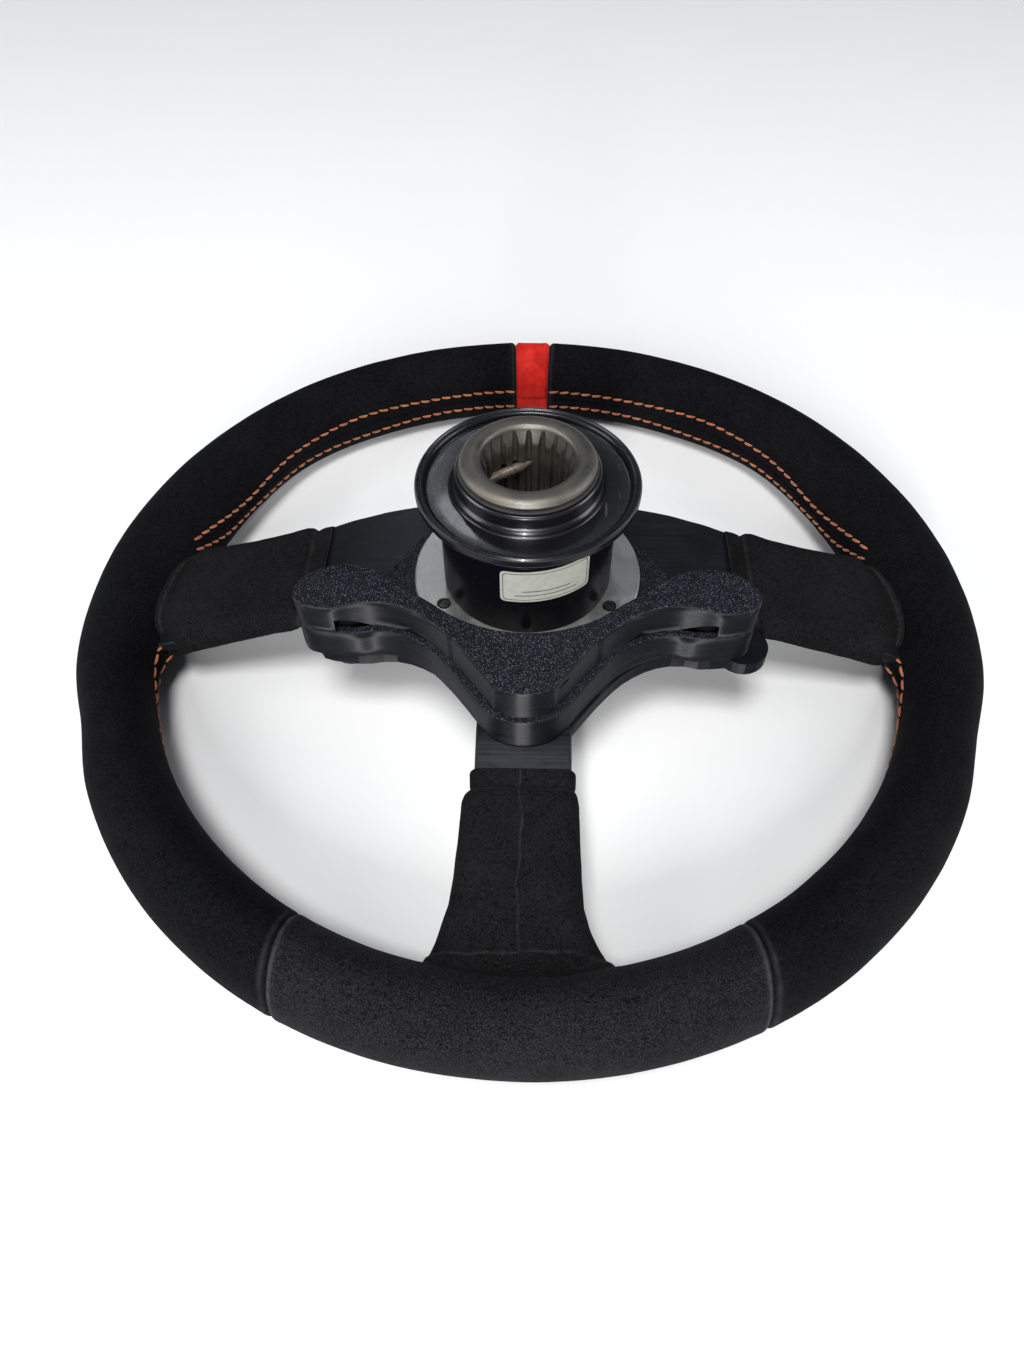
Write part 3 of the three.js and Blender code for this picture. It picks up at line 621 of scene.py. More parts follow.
def rim_point(clock, v, inset=0.0):
    """A point on the rim's surface at a clock angle and an angle round its section, which is 0 on
    the outer side, 90 at the back and 180 on the inner side."""
    clock, v = np.asarray(clock, float), np.asarray(v, float)
    outer = hermite(RIM_CLOCK, RIM_OUTER, wrap(clock))
    inner = hermite(RIM_CLOCK, RIM_INNER, wrap(clock))
    turn, around = np.radians(clock), np.radians(v)
    inner = inner - CORNER * np.exp(-(((wrap(clock) - CORNER_CLOCK) / 2.5) ** 2)
                                    - ((v - 184) / 22) ** 2)
    r = (outer + inner) / 2 + ((outer - inner) / 2 - inset) * np.cos(around)
    z = HALF_DEPTH + (HALF_DEPTH - inset) * np.sin(around)
    return np.stack([r * np.sin(turn), r * np.cos(turn), z], -1)


def rim_frame(clock, v):
    """Point, tangent along the rim, tangent across it and outward normal."""
    p = rim_point(clock, v)
    along = unit(rim_point(clock + 0.05, v) - rim_point(clock - 0.05, v))
    across = unit(rim_point(clock, v + 0.1) - rim_point(clock, v - 0.1))
    normal = unit(np.cross(along, across))
    centre = (rim_point(clock, 0) + rim_point(clock, 180)) / 2
    return p, along, across, normal if np.dot(normal, p - centre) > 0 else -normal


def seam_depth(clock, v):
    """How far the cover is pulled in along the sewn seam on the rim's inner side."""
    c = wrap(clock)
    depth = np.zeros_like(c)
    for stations, first, second in SEAM_ROWS.values():
        here = (c >= stations[0]) & (c <= stations[-1])
        a, b = np.interp(c, stations, first), np.interp(c, stations, second)
        fade = np.clip((stations[-1] - c) / 2.5, 0, 1)
        if stations[0] > 1:
            fade = fade * np.clip((c - stations[0]) / 2.5, 0, 1)
        across = (v - (a + b) / 2) * MM_PER_SECTION
        half = (b - a) / 2 * MM_PER_SECTION
        valley = 0.9 * hump(across, 0.8)
        rows = 0.35 * (hump(across - half, 0.7) + hump(across + half, 0.7))
        depth += here * fade * (valley + rows)
    return depth


def closed_skin(outer, inner):
    """Vertices and faces of a tube with a wall: two grids of points, open at their first and last
    rows, joined there."""
    rows, columns = outer.shape[:2]
    vertices = np.vstack([outer.reshape(-1, 3), inner.reshape(-1, 3)])
    faces = grid_faces(rows, columns, False, True)
    faces += grid_faces(rows, columns, False, True, rows * columns, True)
    for row, flip in ((0, True), (rows - 1, False)):
        for j in range(columns):
            a, b = row * columns + j, row * columns + (j + 1) % columns
            quad = (a, b, b + rows * columns, a + rows * columns)
            faces.append(quad[::-1] if flip else quad)
    return vertices, outward(vertices, faces)


def rim_cover(node, start, end, material, slot, lump, puff):
    """One panel of the rim's cover, from clock angle start to end, tucked in at both ends."""
    ends = np.array([0, 0.06, 0.12, 0.2, 0.3, 0.42, 0.6, 0.85])
    middle = np.arange(start + 1.1, end - 1.0, 0.9 if end - start > 20 else 0.4)
    stations = np.concatenate([start + ends, middle, (end - ends)[::-1]])
    v = np.concatenate([np.arange(0, 140, 5), np.arange(140, 216, 1.6), np.arange(218, 360, 5)])
    c, w = np.meshgrid(stations, v, indexing="ij")
    from_end = np.minimum(c - start, end - c) * MM_PER_CLOCK
    slant = 1.6 * np.cos(np.radians(w)) - 0.6
    c = c + np.sign(180 - c) * slant * hump(wrap(c) - PANEL_SEAM, 5)
    points = rim_point(c, w).reshape(-1, 3)
    wave = (lumps(points, 22, 3.1) * 0.7 + lumps(points, 8, 9.7) * 0.3).reshape(c.shape)
    inset = 0.95 * hump(from_end, 0.75) - puff * hump(from_end - 2.2, 1.4)
    inset = inset + seam_depth(c, w) - lump * wave * np.clip(from_end / 2, 0, 1) + 0.12
    outer = rim_point(c, w, np.maximum(inset, 0.0))
    vertices, faces = closed_skin(outer, rim_point(c, w, LEATHER_T))
    rub = 0.9 * hump(from_end - 1.3, 0.8)
    obj = new_object(node + "_skin", vertices, faces, material, sharp=60, slot=slot, replaces=(node,),
                     wear=np.stack([rub, rub * 0]))


GAP_HALF = 0.04  # half the joint between two panels, as a clock angle
for node, start, end, material, slot, lump, puff in (
        ("centre_band", -BAND_EDGE, BAND_EDGE, RED_BAND, "red_leather", 0.10, 0.12),
        ("cover_right", BAND_EDGE, PANEL_SEAM, BLACK_SUEDE, "black_suede", 0.22, 0.10),
        ("cover_bottom", PANEL_SEAM, 360 - PANEL_SEAM, GREY_SUEDE, "grey_suede", 0.22, 0.12),
        ("cover_left", 360 - PANEL_SEAM, 360 - BAND_EDGE, BLACK_SUEDE, "black_suede", 0.22, 0.10)):
    rim_cover(node, start + GAP_HALF, end - GAP_HALF, material, slot, lump, puff)

STITCH_PITCH = 5.3
STITCH_LENGTH = 4.75
STITCH_SLANT = 0.34
THREAD_R = 0.58


def stitch_row(clocks, section, side):
    """Capsule-shaped stitches along one row, as vertices and faces."""
    slant = STITCH_SLANT * side
    c = np.linspace(max(clocks[0], BAND_EDGE + 0.2), clocks[-1], 900)
    v = hermite(clocks, section, c)
    path = rim_point(side * c, v, 0.2)
    run = np.concatenate([[0], np.cumsum(np.linalg.norm(np.diff(path, axis=0), axis=1))])
    vertices, faces = [], []
    rings, around = 9, 8
    for k in range(int(run[-1] / STITCH_PITCH)):
        at = (k + 0.5) * STITCH_PITCH
        ck, vk = np.interp(at, run, c), np.interp(at, run, v)
        ahead = np.interp(at + 0.5, run, c), np.interp(at + 0.5, run, v)
        p, along, across, normal = rim_frame(side * ck, vk)
        tangent = unit(rim_point(side * ahead[0], ahead[1]) - p)
        lateral = np.cross(normal, tangent)
        wobble = noise.noise(Vector((k * 0.73, slant * 5.1, side))) * 0.12
        first = len(vertices)
        for i in range(rings):
            u = -1 + 2 * i / (rings - 1)
            thick = THREAD_R * max(0.0, 1 - abs(u) ** 3.2) ** 0.5
            centre = (p + tangent * u * STITCH_LENGTH / 2 + lateral * (u * slant + wobble)
                      + normal * (0.12 - 0.42 * abs(u) ** 3))
            for j in range(around):
                turn = 2 * math.pi * j / around
                vertices.append(centre + (lateral * math.cos(turn) + normal * 0.85 * math.sin(turn))
                                * max(thick, 0.05))
        faces += grid_faces(rings, around, False, True, first)
        faces.append(tuple(reversed(range(first, first + around))))
        faces.append(tuple(range(len(vertices) - around, len(vertices))))
    return vertices, faces


for part, (clocks, *rows) in SEAM_ROWS.items():
    for side, word in ((1, "right"), (-1, "left")):
        stitches = joined(*[stitch_row(clocks, section, side) for section in rows])
        new_object(f"stitches_{part}_{word}", *stitches, THREAD, sharp=80)

# ------------------------------------------------------------------ spoke plate and sleeves

PLATE_BACK = 43.2
PLATE_T = 4.0
BEND_R = 70.0
SLOPE = 22 / 84.3
BOLT_CIRCLE = 35.0
BOLTS = polar(BOLT_CIRCLE, np.radians(np.arange(30, 390, 60)))


def drop(r):
    """How far the dished plate lies below its flat middle at a distance along a spoke."""
    d = np.asarray(r, float) - BEND_R
    return SLOPE * (np.sqrt(d * d + 9) + d) / 2


SIDE_TOP = [(0, 44.2), (24, 42.9), (48, 39), (58, 36.2), (66, 33.2), (78, 30), (92, 28.2),
            (110, 27), (154, 27)]
SIDE_LOW = [(154, -20.5), (120, -19.5), (90, -18.5), (74, -18.6), (64, -20)]
CROTCH = (60.0, -64.0)  # centre of the curve between a side spoke and the bottom one
CROTCH_R = 43.8
BOTTOM_SPOKE_HALF = 16.2
SPOKE_END = 154
BORE_IN_PLATE = 25.5


def plate_outline():
    top_x = np.linspace(0, SPOKE_END, 90)
    top = np.stack([top_x, hermite(*zip(*SIDE_TOP), top_x)], 1)
    low = smooth_loop(SIDE_LOW, 2.0, closed=False)
    crotch = polar(CROTCH_R, np.radians(np.linspace(93, 180, 36))) + CROTCH
    spoke = np.array([(BOTTOM_SPOKE_HALF, y) for y in np.linspace(-68, -SPOKE_END, 30)])
    end = np.array([(x, -SPOKE_END) for x in np.linspace(14, 0, 6)])
    right = np.vstack([top, low[1:], crotch, spoke, end])
    return np.vstack([right, mirrored(right)[1:-1]])


def dish(vertices):
    """The plate's vertices with its three arms bent down."""
    x, y = vertices[:, 0], vertices[:, 1]
    reach = np.where(y < -60, np.maximum(-y, 0), np.abs(x))
    vertices[:, 2] -= np.where((np.abs(x) > 60) | (y < -60), drop(reach), 0)
    return vertices


bolt_holes = [circle(2.1, 20, x, y) for x, y in BOLTS]
vertices, faces = slab([plate_outline(), circle(BORE_IN_PLATE, 96), *bolt_holes],
                       PLATE_BACK - PLATE_T, PLATE_BACK, 0.5, 0.7, pitch=4.0)
new_object("spoke_plate_sheet", dish(vertices), faces, ANODISED, slot="anodised",
           replaces=("spoke_plate",))

# A sleeve's stations along its spoke: distance from the axis, edges across the spoke, and padding
# over the plate's faces. The dip after the first two is the crease behind the hem.
SIDE_SLEEVE = [
    (78.5, -19.6, 30.6, 1.1), (79.0, -19.9, 30.9, 1.5), (82.0, -19.9, 30.8, 1.6),
    (84.0, -19.6, 30.2, 1.4), (84.7, -19.2, 29.8, 0.8), (85.6, -19.4, 30.3, 1.4),
    (87.0, -20.0, 31.3, 2.6), (89.5, -20.4, 31.7, 3.2), (97, -20.1, 30.3, 3.5),
    (110, -21.0, 29.2, 4.0), (124, -21.8, 29.2, 4.8), (133, -22.4, 29.8, 5.8)]
BOTTOM_SLEEVE = [
    (83.1, -17.4, 17.3, 1.1), (83.6, -17.9, 17.7, 1.5), (86.6, -17.8, 17.6, 1.6),
    (88.4, -17.7, 17.5, 1.4), (89.1, -17.4, 17.2, 0.8), (89.9, -18.1, 17.7, 1.4),
    (91.2, -19.4, 18.3, 2.5), (93.6, -20.2, 18.7, 3.1), (105, -20.8, 18.9, 3.5),
    (117, -21.6, 19.5, 4.0), (126, -22.8, 20.2, 4.6), (131, -24.4, 21.6, 5.2)]
TOP_POINTS = 56
CORNER_POINTS = 7
SLEEVE_WRAP = 34  # how far a sleeve reaches round the rim's section to either side of its middle
# Past the loop, (step along the rim, sink into it) of the edge's last rows
SEWN_TUCK = ((1.5, 0.10), (3.0, 0.32), (3.4, 1.0))
GLUED_TUCK = ((0.35, 0.10), (0.6, 0.35), (0.65, 0.8))


def sleeve_section(low_edge, high_edge, pad, r):
    """A closed loop round a spoke at distance r: its points (across, height), and for each point
    its share of the way across and the side of the plate it is on."""
    half, middle = (high_edge - low_edge) / 2, (high_edge + low_edge) / 2
    thick = PLATE_T / 2 + pad
    corner = min(thick * 1.25, half * 0.45)
    flat = half - corner
    turn = np.linspace(0, math.pi / 2, CORNER_POINTS)
    across = np.concatenate([flat + corner * np.cos(turn),
                             np.linspace(flat, -flat, TOP_POINTS + 2)[1:-1],
                             -flat - corner * np.cos(turn[::-1])])
    height = thick * np.concatenate([np.sin(turn), np.ones(TOP_POINTS), np.sin(turn[::-1])])
    upper = np.stack([across, height], 1)
    loop = np.vstack([upper, upper[-2:0:-1] * (1, -1)])
    share = loop[:, 0] / half
    loop[:, 1] += np.sign(loop[:, 1]) * 0.22 * pad * (1 - share**2)
    centre = PLATE_BACK - PLATE_T / 2 - float(drop(r))
    return loop + (middle, centre), share, np.sign(np.round(loop[:, 1], 6))


def sleeve(node, table, place, loop_clock, loop_half, tilt, seam_line, seed):
    """A sleeve lofted from its hem to the loop where it meets the rim, whose middle and half length
    are clock angles. Tilt turns the loop round the rim's section. Place turns (distance, across,
    height) into row coordinates, and seam_line gives the height of any sewn ridge."""
    table = np.array(table)
    hem, hem_end = table[0, 0], table[0, 0] + 13
    stations = np.unique(np.concatenate([np.linspace(hem, hem_end, 34),
                                         np.linspace(hem_end, table[-1, 0], 34)]))
    rings = []
    for r in stations:
        low_edge, high_edge, pad = (np.interp(r, table[:, 0], table[:, k]) for k in (1, 2, 3))
        section, share, side = sleeve_section(low_edge, high_edge, pad, r)
        rings.append(np.array([place(r, a, h) for a, h in section]))
    last = rings[-1]
    heading = unit(last - rings[-2])
    bulge = np.sqrt(np.clip(1 - np.abs(share) ** 2.4, 0, 1))
    clock = loop_clock - loop_half * share
    v = 180 + tilt * (1 - share) / 2 - side * SLEEVE_WRAP * bulge
    goal, direction, up = [], [], []
    for c, w, s, e, b in zip(clock, v, share, side, bulge):
        p, along, across, normal = rim_frame(c, w)
        away = -along * s * math.copysign(1, loop_half) - across * e * b
        goal.append(p + normal * (0.15 if seam_line else 0.42))
        direction.append(unit(away if np.linalg.norm(away) > 1e-6 else normal))
        up.append(normal)
    goal, direction, up = map(np.array, (goal, direction, up))
    reach = 0.9 * np.linalg.norm(goal - last, axis=1)[:, None]
    for t in np.linspace(0, 1, 38)[1:]:
        rings.append(cubic(last, heading * reach, goal, direction * reach, t))
    tuck = SEWN_TUCK if seam_line else GLUED_TUCK
    outer = np.array(rings + [goal + direction * step - up * sink for step, sink in tuck])
    rows, columns = outer.shape[:2]
    normals = unit(np.cross(np.gradient(outer, axis=0), np.roll(outer, -1, 1) - np.roll(outer, 1, 1)))
    if np.sum(normals[3] * (outer[3] - outer[3].mean(0))) < 0:
        normals = -normals
    points = outer.reshape(-1, 3)
    wave = (lumps(points, 17, seed) * 0.6 + lumps(points, 6, seed + 4) * 0.4).reshape(rows, columns)
    row = np.arange(rows)[:, None]
    fade = np.clip(row / 6, 0, 1) * np.clip((rows - 3 - row) / 9, 0, 1)
    run = np.linalg.norm(outer - outer[0], axis=2).mean(1)
    crease = np.interp(table[4, 0], stations, run[:len(stations)])
    rub = 0.8 * hump(run, 0.5) + 0.55 * hump(run - crease - 1.2, 0.7)
    if not seam_line:
        rub = rub + 0.5 * hump(run[-1] - run - 1.4, 0.6)
    rub = np.repeat(rub[:, None], columns, 1)
    move = 0.3 * wave * fade
    if seam_line:
        ridge = seam_line(outer) * (side > 0)
        move = move + fade * ridge
        rub += np.clip(ridge * 1.6, 0, 0.55)
    skin = outer + normals * move[:, :, None]
    vertices, faces = closed_skin(skin, skin - normals * 0.85)
    obj = new_object(node + "_suede", vertices, faces, SLEEVE_SUEDE, sharp=60, slot="grey_suede",
                     replaces=(node,), wear=np.stack([rub, rub * 0]))


def bottom_seams(points):
    """The raised, slightly wandering seam down the middle of the bottom sleeve, and the one across it
    where the sleeve's leather meets the rim's."""
    x, y = points[:, :, 0], points[:, :, 1]
    centre = -0.6 + 0.5 * np.sin(y / 6.0) + 0.35 * np.sin(y / 2.3 + 1)
    ridge = 0.0
    meeting = y + 141.4 - 0.5 * np.sin(x / 7.0) - 0.25 * np.sin(x / 2.1)
    for across, shown in ((x - centre, meeting > 0), (meeting, 1.0)):
        line = 0.32 * hump(across, 0.5) - 0.25 * (hump(across - 1.1, 0.6) + hump(across + 1.1, 0.6))
        ridge = ridge + line * shown
    return ridge


for word, side, seed in (("right", 1, 1.7), ("left", -1, 8.3)):
    sleeve("sleeve_" + word, SIDE_SLEEVE, lambda r, a, h: (side * r, a, h), side * 87.4, side * 10.2,
           6, None, seed)
sleeve("sleeve_bottom", BOTTOM_SLEEVE, lambda r, a, h: (a, -r, h), 180, 13.0, 0, bottom_seams, 5.5)

# ------------------------------------------------------------------ housing

SPLIT = 56.2  # height where the upper and lower housings meet
TOP = 68.6
ROOF_UNDER = 66.4
STEP = 2.4  # how far the lower housing's valley side stands out beyond the upper one's
WALL = 2.4
SIDE_ARC = polar(47.5, np.radians(np.arange(-90, -47, 10.5)))  # beside the hub
LOBE = [(38.7, -30.2), (46.5, -23.9), (54, -19.4), (62.5, -17.4), (71.5, -19.4), (78, -24.3),
        (80.3, -30.8), (77.5, -36.2), (67, -38.6)]
VALLEY = [(60, -36.6), (53, -35.4), (46.5, -36), (39.5, -38.6), (31.5, -44), (24.8, -51),
          (18.4, -59.2), (12.6, -67.2), (8.6, -71.4), (3.2, -73.2)]
PAD = (10.8, 25.5)  # where a pad starts and ends along X
PAD_TOP = -49.5
PAD_RECESS = 0.55
PAD_INWARD = (-0.79, 0.61)


def housing_outline(step):
    """The housing's plan, with its valley side moved out by step."""
    run = np.array([LOBE[-1], *VALLEY, (0, VALLEY[-1][1] - 0.2)])
    along = np.zeros_like(run)
    along[1:-1] = run[2:] - run[:-2]
    along[-1] = run[-1] - run[-2]
    along = unit(along)
    moved = run[1:] + np.stack([-along[1:, 1], along[1:, 0]], 1) * step
    moved[-1, 0] = 0
    half = np.vstack([SIDE_ARC, LOBE, moved])
    loop = smooth_loop(np.vstack([half, mirrored(half)[1:-1]]), 1.1)
    return loop if signed_area(loop) > 0 else loop[::-1]


def with_pads(loop):
    """The outline with a shallow flat pad pressed into each side of the nose."""
    made = []
    for x, y in loop:
        if PAD[0] < abs(x) < PAD[1] and y < PAD_TOP:
            x += PAD_INWARD[0] * math.copysign(PAD_RECESS, x)
            y += PAD_INWARD[1] * PAD_RECESS
        made.append((x, y))
    return np.array(made)


def box_solid(low, high, spin=0.0):
    """A box between two corners, spun about the steering axis."""
    corners = np.array([(x, y, z) for z in (low[2], high[2]) for y in (low[1], high[1])
                        for x in (low[0], high[0])], float)
    c, w = math.cos(spin), math.sin(spin)
    corners[:, :2] = corners[:, :2] @ np.array([[c, w], [-w, c]])
    return corners, [(0, 2, 3, 1), (4, 5, 7, 6), (0, 1, 5, 4), (2, 6, 7, 3), (0, 4, 6, 2), (1, 3, 7, 5)]


def cut(obj, *solids, sharp=35):
    """obj with these solids taken away from its mesh."""
    vertices, faces = joined(*solids)
    mesh = bpy.data.meshes.new("cutter")
    mesh.from_pydata((np.asarray(vertices) * MM).tolist(), [], faces)
    cutter = bpy.data.objects.new("cutter", mesh)
    bpy.context.scene.collection.objects.link(cutter)
    modifier = obj.modifiers.new("cut", "BOOLEAN")
    modifier.operation, modifier.object, modifier.solver = "DIFFERENCE", cutter, "EXACT"
    bpy.context.view_layer.update()
    made = bpy.data.meshes.new_from_object(obj.evaluated_get(bpy.context.evaluated_depsgraph_get()))
    obj.modifiers.clear()
    obj.data = made
    bpy.data.objects.remove(cutter)
    made.shade_smooth()
    made.set_sharp_from_angle(angle=math.radians(sharp))


def split_walls(obj):
    """Gives the upright faces of a printed piece their own material: printed layers, a stretched
    highlight, and a darker colour that is painted shade on the walls.
    """
    obj.data.materials.append(PRINTED_WALL)
    for face in obj.data.polygons:
        face.material_index = 1 if abs(face.normal.z) < 0.75 else 0


upper_loop = with_pads(housing_outline(0))
lower_loop = housing_outline(STEP)

wall = slab([upper_loop, offset_loop(upper_loop, WALL)], SPLIT + 0.1, ROOF_UNDER, 0.15, 0, wall_rows=4)
upper_wall = new_object("housing_upper_wall", *wall, PRINTED, slot="printed_plastic")
NOTCH = [(50.5, 55.2), (66, 55.2), (66, 62.2), (64, 62)]
wedges = []
for side in (1, -1):
    ring = [(side * x, y, z) for y in (-44.0, -33.2) for x, z in NOTCH]
    faces = [(0, 1, 2, 3), (7, 6, 5, 4)] + [(i, i + 4, (i + 1) % 4 + 4, (i + 1) % 4) for i in range(4)]
    wedges.append((np.array(ring), outward(ring, faces)))
slot_end = np.array((13.9, -66.5))
slot = box_solid((-2.4, -3, 64.4), (2.4, 3, 65.9), math.radians(53))
slot[0][:, :2] += slot_end
cut(upper_wall, *wedges, slot)
split_walls(upper_wall)
roof = slab([upper_loop], ROOF_UNDER, TOP, 0, 0.7, pitch=5.0, steps=3)
upper_roof = new_object("housing_upper_roof", *roof, PRINTED, slot="printed_plastic",
                        replaces=("housing_upper",))
split_walls(upper_roof)

lower_wall = slab([lower_loop, offset_loop(lower_loop, WALL + 1.0)], PLATE_BACK + 0.1, SPLIT, 0.3, 0.6,
                  wall_rows=4)


def reach(loop, turn):
    """Distance from the axis to a star-shaped loop in each direction."""
    made = np.zeros(len(turn))
    a, b = loop, np.roll(loop, -1, 0)
    for k, t in enumerate(turn):
        d = np.array([math.cos(t), math.sin(t)])
        side_a, side_b = a[:, 0] * d[1] - a[:, 1] * d[0], b[:, 0] * d[1] - b[:, 1] * d[0]
        hit = (side_a > 0) != (side_b > 0)
        share = side_a[hit] / (side_a[hit] - side_b[hit])
        made[k] = np.max((a[hit] + (b[hit] - a[hit]) * share[:, None]) @ d)
    return made


web_half = np.array([(40, 24), (53, 3), (66, -19), (40, -36)])
web = even(np.vstack([web_half, mirrored(web_half)]), 1.5)
turn = np.linspace(0, 2 * math.pi, 300, endpoint=False)
round_part = np.where(48.5 * np.sin(turn) < -20, 48.5, 46.0)
edge = np.minimum(np.maximum(round_part, reach(web, turn)), reach(plate_outline(), turn) - 0.5)
skirt_loop = np.stack([edge * np.cos(turn), edge * np.sin(turn)], 1)
skirt = slab([skirt_loop, circle(BORE_IN_PLATE + 1, 96), *bolt_holes],
             PLATE_BACK + 0.1, PLATE_BACK + 0.7, 0.1, 0.2, 6.0)
lower = new_object("housing_lower_shell", *joined(lower_wall, skirt), PRINTED, slot="printed_plastic",
                   replaces=("housing_lower",))
split_walls(lower)

# ------------------------------------------------------------------ quick release

HUB_PIN_Z = 86.2
PIN_CENTRE = 13.6  # distance of a pin's axis from the steering axis
PIN_TURN = math.radians(33)
BOLT_HOLE_R = 2.65

disc = lathe("hub_disc_turned", [
    (22.3, 44.1), (41.9, 44.1), (42.4, 44.6, 0.25), (42.4, 48.1, 0.25), (42, 48.5, 0.2), (29.3, 48.5),
    (29.3, 57.4), (19.6, 57.4), (19.6, 46.8), (22.3, 46.8)],
    DISC, radius=0.2, segments=192, slot="satin_aluminium", replaces=("hub_disc",))


def rod_solid(x, y, radius, low, high, count=28):
    ring = circle(radius, count, x, y)
    faces = [tuple(reversed(range(count))), tuple(range(count, 2 * count))]
    return [(*p, z) for z in (low, high) for p in ring], grid_faces(2, count, False, True) + faces


cut(disc, *[rod_solid(x, y, BOLT_HOLE_R, 40, 55) for x, y in BOLTS], sharp=45)
lathe("body_cup_turned", [
    (19.6, 57.5), (29.4, 57.5), (29.4, 48.6), (31.1, 48.6), (31.1, 81), (30.6, 81.5), (27.6, 81.5),
    (27.6, 59.5), (19.6, 59.5)], CUP_GLOSS, radius=0.3, slot="gloss_black", replaces=("body_cup",))
lathe("release_collar_turned", [
    (25.6, 69), (27.2, 69), (27.2, 88.8), (36.0, 88.8, 0.5), (38.0, 89.1, 0.8), (38.8, 89.9, 0.8),
    (38.8, 92.4, 0.7), (38.3, 93.3, 0.5), (37.75, 93.3, 0.4), (37.3, 92.75, 0.4), (36.75, 93.0, 0.35),
    (36.1, 92.8, 0.4), (35.5, 92.0, 0.6), (35.1, 90.9, 0.8), (27.2, 90.9, 0.9), (26.6, 91.3, 0.5),
    (26.3, 92.3, 0.6), (25.6, 93.1, 0.5), (25, 93.5, 0.5), (25, 97.5), (24.3, 98.2), (19.8, 98.2),
    (19.8, 95.3), (22.1, 95.1), (22.1, 91.7), (19.8, 84.7), (19.8, 81.3), (25.6, 81.3)],
    GLOSS, body="collar", radius=0.25, segments=224, slot="gloss_black", replaces=("release_collar",))
lathe("bumper_ring_moulded", [(19.6, 98.5), (24, 98.5), (24, 99.4), (19.6, 99.4)], RUBBER,
      slot="bumper_rubber", replaces=("bumper_ring",))

SPLINES = 20
SPLINE_PHASE = math.radians(77.2)
BORE_R = 14.5
SPLINE_DEPTH = 1.5
outer = rounded([
    (19.3, 44.3), (19.3, 45), (18.2, 45), (18.2, 46.3), (19.3, 46.3), (19.3, 59.7), (24.6, 59.7),
    (24.6, 61.7), (19.3, 61.7), (19.3, 99.7), (23.0, 99.7, 0.5), (23.35, 100.5, 0.7),
    (22.7, 101.6, 0.9), (21.4, 102.45, 1.0), (19.8, 102.8, 1.0), (18.2, 102.8, 0.9),
    (16.9, 102.45, 0.8), (16.2, 101.75, 0.5)],
    0.25, 4, closed=False)
inner_z = np.concatenate([np.linspace(101.3, 95.7, 12), np.linspace(94, 46, 14), [44.3]])
land = np.interp(inner_z, [95.7, 100.6, 101.3], [BORE_R, 15.9, 16.05])
depth = SPLINE_DEPTH * np.clip((101.6 - inner_z) / 1.4, 0, 1) ** 0.5
turns = np.linspace(0, 2 * math.pi, SPLINES * 26, endpoint=False)
share = ((turns - SPLINE_PHASE) / (2 * math.pi) * SPLINES) % 1.0
groove = np.interp(share, [0, 0.40, 0.46, 0.58, 0.62, 0.80, 0.84, 0.96, 1.0],
                   [0, 0, 0.12, 0.92, 1, 1, 0.92, 0.12, 0])
vertices = []
for t, g in zip(turns, groove):
    for r, z in [*outer, *zip(np.maximum(land, BORE_R + g * depth), inner_z)]:
        vertices.append((r * math.cos(t), r * math.sin(t), z))
columns = len(outer) + len(inner_z)
hub = new_object("splined_hub_broached", vertices,
                 outward(vertices, grid_faces(len(turns), columns, True, True)), HUB, sharp=38,
                 slot="hub_steel", replaces=("splined_hub",))
cut(hub, *[box_solid((11.7, -12.6, HUB_PIN_Z - 1.85), (25.7, 12.6, HUB_PIN_Z + 1.85),
                     PIN_TURN + math.radians(a)) for a in (90, 270)], sharp=38)

# A lock pin's (distance along it, radius), tapering to its worn tip
PIN_PROFILE = [(-12, 0.15), (-11.85, 0.9), (-11.2, 1.4), (-10.4, 1.5), (-4, 1.5), (-3.8, 1.42),
               (-3.4, 1.42), (-3.2, 1.5), (4.8, 1.5), (5.5, 1.5), (6.6, 1.22), (7.6, 1.0),
               (8.6, 0.93), (9.6, 0.84), (10.4, 0.55), (11, 0.12)]
PIN_SIDES = 32
PIN_SCALE = 1.17
for node, body, side in (("lock_pin_1", "pin_a", 1), ("lock_pin_2", "pin_b", -1)):
    towards = np.array([*polar(side, PIN_TURN + math.radians(90)), 0.0])
    tip = np.array([towards[1], -towards[0], 0.0])
    centre = towards * PIN_CENTRE + (0, 0, HUB_PIN_Z)
    vertices = []
    for at, r in PIN_PROFILE:
        for t in np.linspace(0, 2 * math.pi, PIN_SIDES, endpoint=False):
            grit = 0.03 * noise.noise(Vector((at * 0.9, t * 2, side * 4.0)))
            vertices.append(centre + tip * at + (r * PIN_SCALE + grit) * (
                towards * math.cos(t) + np.array([0, 0, 1.0]) * math.sin(t)))
    faces = grid_faces(len(PIN_PROFILE), PIN_SIDES, False, True)
    faces += [tuple(reversed(range(PIN_SIDES))),
              tuple(range(len(vertices) - PIN_SIDES, len(vertices)))]
    new_object(node + "_turned", vertices, outward(vertices, faces), PIN, body, 40, "pin_steel",
               (node,))

SPRING_R = 22.8
WIRE_R = 1.0
SPRING_TURNS = 4.5
SPRING_STEPS = 260
WIRE_SIDES = 14
END_COIL = 0.11  # share of the wire that lies nearly flat at each end
vertices = []
for i in range(SPRING_STEPS + 1):
    u = i / SPRING_STEPS
    angle = 2 * math.pi * SPRING_TURNS * u
    z = np.interp(u, [0, END_COIL, 1 - END_COIL, 1], [63.05, 63.55, 79.45, 79.95])
    for j in range(WIRE_SIDES):
        t = 2 * math.pi * j / WIRE_SIDES
        r = SPRING_R + WIRE_R * math.cos(t)
        vertices.append((r * math.cos(angle), r * math.sin(angle), z + WIRE_R * math.sin(t)))
faces = outward(vertices, grid_faces(SPRING_STEPS + 1, WIRE_SIDES, False, True))
faces += [tuple(range(WIRE_SIDES)), tuple(reversed(range(len(vertices) - WIRE_SIDES, len(vertices))))]
